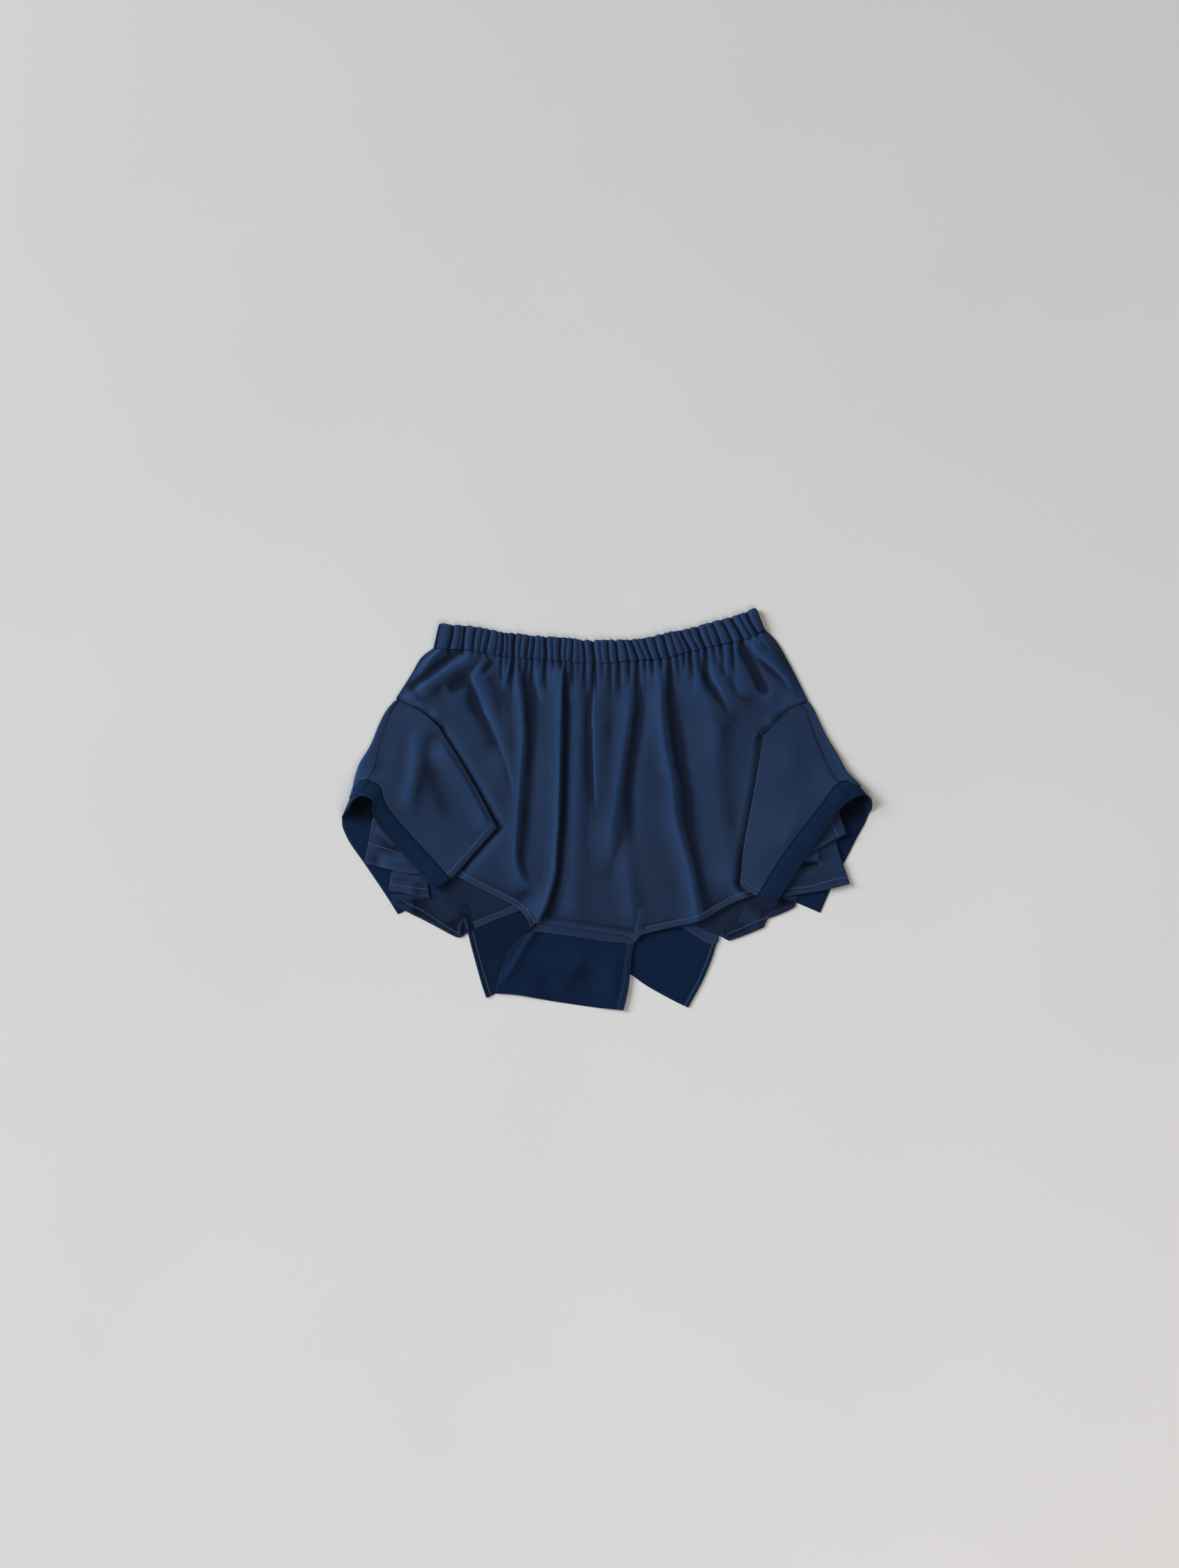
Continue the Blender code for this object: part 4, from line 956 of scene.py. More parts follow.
        height += Band(even(hem, 160)).height(flat) * (y < -40)
        for knot_x, knot_y in self.seam_knots:
            height += np.exp(-((x - knot_x) ** 2 + (y - knot_y) ** 2) / 40)
        armholes = [chain([armhole], 40) for armhole in (LEFT_ARMHOLE, RIGHT_ARMHOLE)]
        for armhole in armholes:
            height += Band(armhole, 5.0, 0.2, 0.4).height(flat) * (y > 78)
        return [ClothPiece("front_panel_cloth", "front_panel", "panel_pique", lifted(flat, height),
                           self.finishes.panel, (0.53, 0.34), Held.GATHERED, ["back_panel"], area=0.145,
                           hems=[hem], seams=armholes)]


@dataclass
class BackPanel:
    """The back panel: the layer that rests on the floor.

    Attributes:
        finishes: The skirt's materials.
        columns: Cells across the panel.
        rows: Cells down the panel.
        hem: Stretches of the lower edge, which meet at sharp corners.
        loop: The edge that curls up beside the left neck tape.
        creases: Soft folds and curled edges near the hem.
    """

    finishes: Finishes
    columns: int = 340
    rows: int = 130
    hem: list[Path] = field(default_factory=lambda: [
        [(-242, -105.7), (-225, -115.4), (-207.9, -124), (-190.7, -133.1), (-177, -140.6), (-169, -144.4)],
        [(-169, -144.4), (-164, -144.2), (-159.9, -141.5), (-155.5, -138)],
        [(-155.5, -138), (-151, -126.6)],
        [(-151, -126.6), (-126.7, -116.9), (-109, -109.6), (-80, -90), (-45, -76), (0, -70), (40, -78),
         (75, -102), (98.6, -127), (110.4, -136.1), (127.2, -142.6)],
        [(127.2, -142.6), (138, -148.4)],
        [(138, -148.4), (152, -143.6), (168, -137.2), (177.6, -133.2)],
        [(177.6, -133.2), (182, -123.5)],
        [(182, -123.5), (201.4, -116), (212.3, -110.3)]])
    loop: Crease = Crease([(-166, -143), (-164.8, -130), (-161, -124.5), (-157.4, -129), (-155, -138)],
                          2.6, 1.8, 1.8, 0.12)
    creases: list[Crease] = field(default_factory=lambda: [
        Crease([(-226, -78), (-205, -92), (-184, -110), (-170, -128)], 0.8, 10, 12),
        Crease([(-241, -98), (-228, -99.5), (-204, -99.5)], 1.8, 3, 2.2, 0.1, 0.4),
        Crease([(198, -99), (207, -99.5), (215, -101)], 1.8, 3, 2.2, 0.1, 0.4),
        Crease([(150, -118), (165, -124), (176, -126)], 0.9, 9, 9)])

    def hem_line(self) -> np.ndarray:
        """The finished lower edge, from left to right."""
        return chain(self.hem, HEM_STEPS)

    def build(self) -> list[ClothPiece]:
        """Lay the panel out."""
        seam = even(band_curve(BAND_SEAM), self.columns) - (0, 2 * GAP)
        left = chain([LEFT_SIDE, [(-237.2, 125), (-231, 112), (-222, 92)],
                      [(-222, 92), (-214, 40), (-214, -14), (-238, -42), (-242, -70), (-242.7, -98),
                       (-242, -105.7)]], self.rows)
        right = chain([RIGHT_SIDE, [(227, 122.4), (221, 112), (212, 92)],
                       [(212, 92), (210, 40), (211, -14), (231, -44), (231, -66), (220, -90),
                        (212.3, -110.3)]], self.rows)
        hem = self.hem_line()
        flat = patch(seam, even(hem, self.columns), left, right)
        x, y = flat[..., 0], flat[..., 1]
        height = PANEL_WALL + over_left_cuff(x, y)
        height += self.loop.height(flat)
        shown = (x < -156) | (x > 130)
        height += Band(hem[::2], 6.4, 0.6, 0.35).height(flat) * (y < -90) * shown
        for crease in self.creases:
            height += crease.height(flat)
        return [ClothPiece("back_panel_cloth", "back_panel", "panel_pique", lifted(flat, height),
                           self.finishes.panel, (0.47, 0.34), Held.LAID, ["cuff_left"], area=0.128,
                           shade=0.6)]


@dataclass(frozen=True)
class BackStation:
    """One cross section of a sleeve's back half: floor edge, outline, seam and how full it is."""

    inner: tuple[float, float]
    outline: tuple[float, float]
    seam: tuple[float, float, float]
    bulge: float = 0.0

    def row(self) -> list[float]:
        """The section as one row of numbers."""
        return [*self.inner, *self.outline, *self.seam, self.bulge]


@dataclass(frozen=True)
class CuffStation:
    """One cross line of a cuff: its free edge and the edge sewn to the sleeve."""

    free: tuple[float, float, float]
    sewn: tuple[float, float, float]

    def row(self) -> list[float]:
        """The line as one row of numbers."""
        return [*self.free, *self.sewn]


def stations(rows: Sequence[BackStation | CuffStation], count: int) -> np.ndarray:
    """Sample sections smoothly at count equal steps of their order."""
    return rounded([row.row() for row in rows], np.linspace(0, 1, count + 1), by_length=False)


@dataclass
class Sleeve:
    """A sleeve in two halves, with its cuff: slit open, the front half folded on itself.

    Attributes:
        side: Which sleeve it is.
        finishes: The skirt's materials.
        armhole: The front half's edge sewn to the front panel.
        fold: Its folded edge, from the armhole to the slit.
        slit: Its open edge, from the fold to the cuff.
        back: Sections of the back half, from the armhole to the cuff.
        cuff: Lines across the cuff, from its strand on the floor to its strand on top.
        top_from: The cuff line at which the front half starts.
        fold_share: Share of the front half's rows that end on the fold.
        creases: The front half's ridges and valleys.
        flat_front: Width and length that the front half was cut to, in metres.
        joins: Seams across the cuff.
        belly: How far the front half stands over a flat sheet between its edges.
        fold_rows: Rows of the front half's grid.
        fold_columns: Columns of the front half's grid, before its turned edge.
    """

    side: Side
    finishes: Finishes
    armhole: Path
    fold: Path
    slit: Path
    back: list[BackStation]
    cuff: list[CuffStation]
    top_from: int
    fold_share: float
    creases: list[Crease]
    flat_front: tuple[float, float]
    joins: list[Path]
    belly: float = 1.6
    fold_rows: int = 90
    fold_columns: int = 70

    def seam(self, count: int) -> np.ndarray:
        """The underarm seam from the armhole down."""
        return stations(self.back, count)[:, 4:7]

    def front_points(self) -> np.ndarray:
        """The front half's outer face, its slit edge turned under."""
        rows, columns = self.fold_rows, self.fold_columns
        sign = self.side.sign
        seam = self.seam(rows)
        seam_z = seam[:, 2]
        left = seam[:, :2] + (sign * GAP * 1.2, 0)
        top = spaced(self.armhole, columns) + np.array((-sign * 0.2, -1)) * GAP
        sewn = stations(self.cuff[self.top_from:], columns)
        sewn_z = sewn[:, 5]
        sewn = sewn[:, 3:5] + np.array((sign * 0.7, 0.9)) * GAP
        split = round(rows * self.fold_share)
        free = np.vstack([spaced(self.fold, split, 80), spaced(self.slit, rows - split, 80)[1:]])
        top[0], top[-1], sewn[0], sewn[-1] = left[0], free[0], left[-1], free[-1]
        flat = patch(top, sewn, left, free)
        u, v = np.meshgrid(np.linspace(0, 1, columns + 1), np.linspace(0, 1, rows + 1))
        upper = seam_z[0] + (SLEEVE_EDGE - seam_z[0]) * smooth(u * 1.3)
        ruled = upper * (1 - v) + sewn_z[None] * v + seam_z[:, None] * (1 - u) + SLEEVE_EDGE * u
        first, last = (seam_z[end] * (1 - u) + SLEEVE_EDGE * u for end in (0, -1))
        corners = first * (1 - v) + last * v
        belly = self.belly * np.sin(math.pi * np.minimum(1, u * 1.15)) * np.sin(math.pi * v)
        height = np.maximum(ruled - corners, upper * 0.95) + belly
        rim = smooth(np.minimum(np.minimum(u, 1 - u) * 9, np.minimum(v, 1 - v) * 12))
        height += rim * sum(crease.height(flat) for crease in self.creases)
        height += Band(spaced(self.slit, 40)).height(flat) * rim
        return turned_under(lifted(flat, height), SLEEVE_TURN, 4.0)

    def back_points(self) -> np.ndarray:
        """The back half's outer face: on the floor, over the outline, up to the seam."""
        table = stations(self.back, 90)
        inner = np.column_stack([table[:, :2], np.zeros(len(table))])
        outline = np.column_stack([table[:, 2:4], np.zeros(len(table))])
        seam = table[:, 4:7]
        bulge = np.maximum(table[:, 7], 0)
        out = (outline - seam) * (1, 1, 0)
        reach = np.linalg.norm(out, axis=1)
        out /= reach[:, None]
        radius = np.minimum(seam[:, 2] / 2, reach * 0.45)[:, None]
        centre = outline - out * radius
        rows = [inner + (centre - inner) * share for share in np.linspace(0, 0.92, 8)]
        arc = [centre + out * radius * math.sin(turn) + UP * radius * (1 - math.cos(turn))
               for turn in np.linspace(0, math.pi, 13)]
        across = np.array((0.0, 1.0, 0.0)) - out * out[:, 1:2]
        across /= np.linalg.norm(across, axis=1, keepdims=True)
        crown = [arc[-1] + (seam - arc[-1]) * share + across * bulge[:, None] * math.sin(math.pi * share)
                 for share in np.linspace(0.1, 0.9, 8)]
        return np.stack(rows + arc + crown + [seam], axis=1)

    def cuff_points(self) -> np.ndarray:
        """The cuff's outer face, from its strand on the floor to its strand on top."""
        table = stations(self.cuff, 170)
        floor = (-np.inf, -np.inf, 0.0)
        free, sewn = np.maximum(table[:, None, :3], floor), np.maximum(table[:, None, 3:], floor)
        share = np.linspace(0, 1, 15)[None, :, None]
        points = free + (sewn - free) * share
        raised = smooth(free[..., 2:] / 8)
        points[..., 2:] += 0.6 * raised * np.sin(math.pi * share)
        fold = 0.5 * raised * np.exp(-(share / 0.10) ** 2)
        dent = 0.35 * raised * np.exp(-((share - 0.93) / 0.05) ** 2)
        points[..., 2:] += fold - dent
        return points

    def build(self) -> list[ClothPiece]:
        """Lay out the two halves and the cuff."""
        name = self.side.value
        slit = spaced(self.slit, 40)
        seam = self.seam(60)[:, :2]
        cuff = self.cuff_points()
        # Painted shade inside the cuff's mouth, as x, y, radius and height.
        mouth = (-self.side.sign * 270.0, 8.0, 34.0, 8.5)
        return [
            ClothPiece(f"sleeve_{name}_front_cloth", f"sleeve_{name}_front", "sleeve_pique",
                       self.front_points(), self.finishes.sleeve, self.flat_front, Held.FOLDED,
                       ["front_panel"], hems=[slit], reference=(45, 30), turned=14,
                       seams=[seam, chain([self.armhole], 40)]),
            ClothPiece(f"sleeve_{name}_back_cloth", f"sleeve_{name}_back", "sleeve_pique",
                       self.back_points(), self.finishes.sleeve, (0.085, 0.14), Held.FOLDED,
                       ["back_panel"], area=0.0105, outward=-1.0, reference=(45, 2), seams=[seam],
                       hollows=[mouth]),
            ClothPiece(f"cuff_{name}_cloth", f"cuff_{name}", "flat_knit", cuff, self.finishes.rib,
                       (0.33, 0.022), Held.FOLDED, ["back_panel"], hems=[cuff[:, 0, :2]],
                       reference=(140, 7), wall=1.1, hollows=[mouth],
                       seams=[cuff[:, -1, :2], *(np.array(join) for join in self.joins)])]


def flat_at(height: float) -> Callable[[np.ndarray], np.ndarray]:
    """A piece that lies flat at one height."""
    return lambda grid: np.full(grid.shape[:-1], height)


@dataclass
class Collar:
    """The cut collar, the strip above it and the tapes over the neckline seam.

    Attributes:
        finishes: The skirt's materials.
        centre_left: Left edge of the centre piece, from the strip down.
        centre_right: Its right edge.
        left_leaf: The left leaf's outer edge, from the neckline down.
        right_leaf: The right leaf's outer edge.
        strip_top: Upper edge of the strip between the front panel and the centre piece.
        strip_low: Its lower edge.
        tapes: Upper and lower edge of each neck tape.
    """

    finishes: Finishes
    centre_left: Path = ((-82.6, -137.4), (-95.9, -143.6), (-103.9, -152.2), (-111, -162.9),
                         (-116.3, -175.3), (-120.8, -187.8), (-125.7, -207.6))
    centre_right: Path = ((31.2, -151.9), (29.6, -158), (28, -170), (26.4, -186), (24.8, -200.4),
                          (22.4, -213), (18.9, -226.7))
    left_leaf: Path = ((-158.5, -130.0), (-155.9, -140.2), (-153.2, -151.3), (-149.2, -166.4),
                       (-144.8, -182.4), (-140.3, -198.4), (-135.4, -212.7))
    right_leaf: Path = ((127.0, -146.6), (123.4, -153.6), (117, -173), (107.2, -195.6), (92, -223.6))
    strip_top: Path = ((-78.8, -129.2), (-49.6, -132.2), (-24, -135.9), (0, -139.9), (32.2, -144.2))
    strip_low: Path = ((-82.2, -137.0), (-49.6, -141.5), (-24, -145.2), (0, -148.7), (31.2, -151.5))
    tapes: dict[Side, tuple[Path, Path]] = field(default_factory=lambda: {
        Side.LEFT: ([(-150.7, -126.9), (-126.7, -117.2), (-109, -109.9), (-84, -93.0)],
                    [(-147.6, -134.8), (-126.7, -125.3), (-97.3, -114), (-77, -103.8)]),
        Side.RIGHT: ([(72, -101.4), (98.2, -127.3), (110, -136.4), (127.0, -142.9)],
                     [(64, -124.6), (82.4, -131.0), (112, -149.9), (124, -152.0)])})

    def centre(self, flat: np.ndarray) -> np.ndarray:
        """Height of the centre piece: over the leaves, down to the floor between, left edge curling."""
        x, y = flat[..., 0], flat[..., 1]
        on_leaves = PANEL_TOP + 0.4
        dip = smooth((x + 92) / 26) * smooth(-x / 26) * smooth((-168 - y) / 26)
        left_edge = -82.6 - (-137.4 - y) * 0.6
        curl = 2.2 * np.exp(-((x - left_edge) / 5.5) ** 2) * smooth((y + 205) / 30)
        wave = 0.35 * np.sin(x / 17) * smooth((-150 - y) / 20)
        wave += Crease([(-22, -152), (-34, -172), (-47, -192), (-61, -216)], 2.0, 9, 20, 0.3).height(flat)
        wave += Crease([(12, -154), (7, -180), (2, -222)], 1.5, 7, 20, 0.3).height(flat)
        return on_leaves - (on_leaves - RIB_WALL) * dip + curl + wave

    def piece(self, name: str, edges: tuple[Path, Path, Path, Path], counts: tuple[int, int],
              height: Callable[[np.ndarray], np.ndarray], flat: tuple[float, float], hems: list[Path],
              rests: str, bands: Sequence[Path] = (), shade: float = 0.0) -> ClothPiece:
        """One piece between four cut edges.

        Args:
            name: The solid's name.
            edges: Top, bottom, left and right edge.
            counts: Columns and rows.
            height: Height of the outer face over a grid of places.
            flat: The cut's width and length, in metres.
            hems: Edges that are worn.
            rests: The solid below.
            bands: Edges with a turned and stitched hem.
            shade: How far the piece lies in shadow.

        Returns:
            The piece.
        """
        across, down = counts
        grid = patch(*(spaced(edge, count) for edge, count in zip(edges, (across, across, down, down))))
        rise = height(grid)
        for band in bands:
            rise = rise + Band(spaced(band, 50), 5.5, 0.55, 0.35).height(grid)
        knit = name.startswith("collar")
        return ClothPiece(name + "_cloth", name, "flat_knit" if knit else "neck_pique", lifted(grid, rise),
                          self.finishes.rib if knit else self.finishes.panel, flat, Held.LAID, [rests],
                          hems=[spaced(hem, 50) for hem in hems], shade=shade)

    def strip(self, name: str, upper: Path, lower: Path, count: int, height: float,
              flat: tuple[float, float], rests: str) -> ClothPiece:
        """A narrow strip between two long edges."""
        edges = (upper, lower, [upper[0], lower[0]], [upper[-1], lower[-1]])
        return self.piece(name, edges, (count, 10), flat_at(height), flat, [upper, lower], rests)

    def build(self) -> list[ClothPiece]:
        """Lay out the collar's three pieces, the strip and the tapes."""
        pieces = [
            self.piece("collar_center",
                       ([(-82.6, -137.4), (-49.6, -141.8), (-24, -145.5), (0, -149.0), (31.2, -151.9)],
                        [(-125.7, -207.6), (-99.4, -209.6), (-60.8, -216.4), (-17.6, -222.8),
                         (18.9, -226.7)],
                        self.centre_left, self.centre_right), (140, 70), self.centre, (0.145, 0.077),
                       [self.centre_left, self.centre_right], "collar_leaf_left", [self.centre_right]),
            self.piece("collar_leaf_left",
                       ([(-158.5, -130.0), (-147.3, -126.2), (-126.7, -117.6), (-97.3, -107.9),
                         (-76, -98.2)],
                        [(-135.4, -212.7), (-131.4, -210.9), (-123, -206.8), (-112, -204), (-99, -204)],
                        self.left_leaf, [(-76, -98.2), (-80, -140), (-88, -170), (-99, -204)]), (70, 80),
                       flat_at(RIB_WALL), (0.075, 0.085), [self.left_leaf], "back_panel",
                       [self.left_leaf], shade=0.42),
            self.piece("collar_leaf_right",
                       ([(10, -116), (60, -119.4), (82.4, -125.2), (112, -144.4), (127.0, -146.6)],
                        [(6, -175), (26.4, -185.7), (46.4, -199.6), (76.8, -216.4), (92, -223.6)],
                        [(10, -116), (9, -140), (8, -158), (6, -175)], self.right_leaf), (100, 70),
                       flat_at(RIB_WALL), (0.12, 0.075), [self.right_leaf], "back_panel",
                       [self.right_leaf]),
            self.strip("neck_strip", self.strip_top, self.strip_low, 120, PANEL_TOP + 0.9,
                       (0.113, 0.0102), "front_panel")]
        for side, (upper, lower) in self.tapes.items():
            pieces.append(self.strip("neck_tape_" + side.value, upper, lower, 70, PANEL_WALL + 1.0,
                                     (0.078, 0.011), "back_panel"))
        return pieces


@dataclass(frozen=True)
class ShoulderFold:
    """A doubled fold of a shoulder part: its fold edge faces the sleeve's opening.

    Attributes:
        name: The solid's name.
        top: Upper edge, from under the sleeve out to the fold.
        fold: The folded edge, from the top to the hem.
        hem: Lower edge, ending at the fold.
        hidden: Edge under the sleeve.
        top_height: Height of the outer face at the top.
        bottom_height: Its height at the hem.
        flat: Width and length of the cut, in metres.
        stitch: Line of the stitching.
        creases: Small folds on it.
        cells: Cells of the grid each way, without the turned edge.
    """

    name: str
    top: Path
    fold: Path
    hem: Path
    hidden: Path
    top_height: float
    bottom_height: float
    flat: tuple[float, float]
    stitch: Path
    creases: tuple[Crease, ...] = ()
    cells: int = 36

    def points(self) -> np.ndarray:
        """The fold's outer face with its lower layer."""
        edges = (self.top, self.hem, self.hidden, self.fold)
        flat = patch(*(spaced(edge, self.cells) for edge in edges))
        x, y = flat[..., 0], flat[..., 1]
        climb = (self.bottom_height - self.top_height) * smooth((-42 - y) / 16) * smooth((x + 262) / 14)
        height = self.top_height + climb + over_left_cuff(x, y)
        height += Band(spaced(self.hem, 40), 7.5, 0.5, 0.45).height(flat)
        height += sum(crease.height(flat) for crease in self.creases)
        return turned_under(lifted(flat, height), FLAP_TURN, 0.0, back=8)

    def piece(self, finishes: Finishes) -> ClothPiece:
        """The fold as a cloth piece."""
        return ClothPiece(self.name + "_cloth", self.name, "panel_pique", self.points(), finishes.panel,
                          self.flat, Held.FOLDED, ["back_panel"],
                          hems=[spaced(self.hem, 40), spaced(self.fold, 40)], reference=(18, 18),
                          shade=0.12, turned=18)


@dataclass(frozen=True)
class StitchRun:
    """A run of machine stitches along a path that lies on a piece.

    Attributes:
        path: The line that the stitching follows, in table millimetres.
        on: Name of the piece that it lies on.
        group: Name of the finished object that the run becomes part of.
        inset: How far from the path the rows' middle lies, to the left of its run.
        rows: Number of rows of stitches.
        spacing: Distance between two rows.
        pitch: Length from one stitch to the next.
        slant: Turn of the stitches to either side, in degrees, for a zigzag.
    """

    path: np.ndarray
    on: str
    group: str
    inset: float = 0.0
    rows: int = 1
    spacing: float = 2.0
    pitch: float = 2.6
    slant: float = 0.0


class Sewing:
    """Every stitch, made by one Geometry Nodes tree along paths laid on the cloth."""

    THREAD_RADIUS = 0.32
    STRAIGHT_LENGTH = 0.82      # length of a straight stitch, as a share of the pitch
    ZIGZAG_LENGTH = 2.4         # length of a slanted one
    CLEARANCE = 0.12            # height of the thread's middle over the cloth
    DROP_FROM = 0.1             # height that a path is dropped onto the cloth from, in metres

    def __init__(self, finishes: Finishes, cloths: dict[str, bpy.types.Object]) -> None:
        """Build the tree once."""
        self.finishes = finishes
        self.cloths = cloths
        self.identifiers: dict[str, str] = {}
        self.tree = self._stitch_tree()
        self.surfaces: dict[str, BVHTree] = {}

    def _stitch_tree(self) -> bpy.types.NodeTree:
        """Points along the path, one thread loop on each, every second one turned the other way.

        Returns:
            The tree, with its inputs' identifiers kept for the modifiers.
        """
        bench = NodeBench(bpy.data.node_groups.new("Stitch run", "GeometryNodeTree"))
        face = bench.tree.interface
        face.new_socket("Path", in_out="INPUT", socket_type="NodeSocketGeometry")
        for name, kind in (("Pitch", "NodeSocketFloat"), ("Stitch length", "NodeSocketFloat"),
                           ("Thread radius", "NodeSocketFloat"), ("Slant", "NodeSocketFloat"),
                           ("Seed", "NodeSocketInt"), ("Thread", "NodeSocketMaterial")):
            self.identifiers[name] = face.new_socket(name, in_out="INPUT", socket_type=kind).identifier
        face.new_socket("Stitches", in_out="OUTPUT", socket_type="NodeSocketGeometry")
        given = bench.add("NodeGroupInput").outputs
        line = bench.add("GeometryNodeMeshToCurve", None, Mesh=given["Path"])
        points = bench.add("GeometryNodeCurveToPoints", {"mode": "LENGTH"}, Curve=line.outputs[0],
                           Length=given["Pitch"])
        loop = bench.add("GeometryNodeMeshIcoSphere", None, Radius=1.0, Subdivisions=1)
        half = Wire(bench.tree, given["Stitch length"]) * 0.5
        size = bench.add("ShaderNodeCombineXYZ", None, X=half, Y=given["Thread radius"],
                         Z=given["Thread radius"])
        shaped = bench.add("GeometryNodeTransform", None, Geometry=loop.outputs[0], Scale=size.outputs[0])
        number = Wire(bench.tree, bench.add("GeometryNodeInputIndex").outputs[0])
        side = number.modulo(2.0) * 2.0 - 1.0
        loose = bench.add("FunctionNodeRandomValue", {"data_type": "FLOAT"}, _2=-0.09, _3=0.09,
                          Seed=given["Seed"])
        turn = side * Wire(bench.tree, given["Slant"]) + Wire(bench.tree, loose.outputs[1])
        aligned = bench.add("FunctionNodeAlignRotationToVector", {"axis": "X"},
                            Vector=points.outputs["Tangent"])
        spin = bench.add("FunctionNodeAxisAngleToRotation", None, Axis=(0, 0, 1), Angle=turn)
        both = bench.add("FunctionNodeRotateRotation", {"rotation_space": "LOCAL"},
                         Rotation=aligned.outputs[0], Rotate_By=spin.outputs[0])
        placed = bench.add("GeometryNodeInstanceOnPoints", None, Points=points.outputs["Points"],
                           Instance=shaped.outputs[0], Rotation=both.outputs[0])
        real = bench.add("GeometryNodeRealizeInstances", None, Geometry=placed.outputs[0])
        dressed = bench.add("GeometryNodeSetMaterial", None, Geometry=real.outputs[0],
                            Material=given["Thread"])
        bench.add("NodeGroupOutput", None, _0=dressed.outputs[0])
        return bench.tree

    def _surface(self, name: str) -> BVHTree:
        """Search tree of a cloth piece, made once."""
        if name not in self.surfaces:
            mesh = self.cloths[name].data
            self.surfaces[name] = BVHTree.FromPolygons([vertex.co.copy() for vertex in mesh.vertices],
                                                       [tuple(face.vertices) for face in mesh.polygons])
        return self.surfaces[name]

    def _laid(self, run: StitchRun, row: int) -> list[list[Vector]]:
        """One row of a run, laid on the cloth.

        Args:
            run: The run.
            row: Which of its rows.

        Returns:
            Stretches of points in metres, broken where the cloth ends.
        """
        line = even(run.path, max(4, int(lengths_of(run.path)[-1])))
        along = np.gradient(line, axis=0)
        along /= np.maximum(np.linalg.norm(along, axis=1, keepdims=True), 1e-9)
        aside = np.stack([-along[:, 1], along[:, 0]], axis=1)
        offset = run.inset + (row - (run.rows - 1) / 2) * run.spacing
        stretches: list[list[Vector]] = [[]]
        for place in (line + aside * offset - MIDDLE[:2]) * MM:
            hit = self._surface(run.on).ray_cast(Vector((*place, self.DROP_FROM)), Vector((0, 0, -1)))[0]
            if hit is None:
                stretches.append([])
            else:
                stretches[-1].append(hit + Vector((0, 0, self.CLEARANCE * MM)))
        return [stretch for stretch in stretches if len(stretch) > 3]

    def _stitched(self, run: StitchRun, stretch: list[Vector], seed: int) -> bpy.types.Mesh:
        """Run the tree along one stretch.

        Args:
            run: The run that the stretch is part of.
            stretch: Its points in metres.
            seed: Seed for the stitches' uneven turns.

        Returns:
            The stitches as a plain mesh.
        """
        mesh = bpy.data.meshes.new("path")
        mesh.from_pydata(stretch, [(i, i + 1) for i in range(len(stretch) - 1)], [])
        carrier = bpy.data.objects.new("path", mesh)
        bpy.context.scene.collection.objects.link(carrier)
        sewn = carrier.modifiers.new("Stitches", "NODES")
        sewn.node_group = self.tree
        length = run.pitch * (self.ZIGZAG_LENGTH if run.slant else self.STRAIGHT_LENGTH)
        for name, value in (("Pitch", run.pitch * MM), ("Stitch length", length * MM),
                            ("Thread radius", self.THREAD_RADIUS * MM), ("Slant", math.radians(run.slant)),
                            ("Seed", seed), ("Thread", self.finishes.thread)):
            sewn[self.identifiers[name]] = value
        graph = bpy.context.evaluated_depsgraph_get()
        made = bpy.data.meshes.new_from_object(carrier.evaluated_get(graph))
        bpy.data.objects.remove(carrier)
        return made

    def build(self, group: str, runs: Sequence[StitchRun]) -> bpy.types.Object:
        """Sew runs into one object.

        Args:
            group: The object's name.
            runs: Runs to sew.

        Returns:
            The stitches as a plain mesh.
        """
        whole = bmesh.new()
        for seed, run in enumerate(runs):
            for row in range(run.rows):
                for stretch in self._laid(run, row):
                    part = self._stitched(run, stretch, seed)
                    whole.from_mesh(part)
                    bpy.data.meshes.remove(part)
        mesh = bpy.data.meshes.new(group)
        whole.to_mesh(mesh)
        whole.free()
        mesh.materials.clear()
        mesh.materials.append(self.finishes.thread)
        mesh.shade_smooth()
        piece = bpy.data.objects.new(group, mesh)
        bpy.context.scene.collection.objects.link(piece)
        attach(piece, "root")
        LOG.info("%s: %d faces", group, len(mesh.polygons))
        return piece


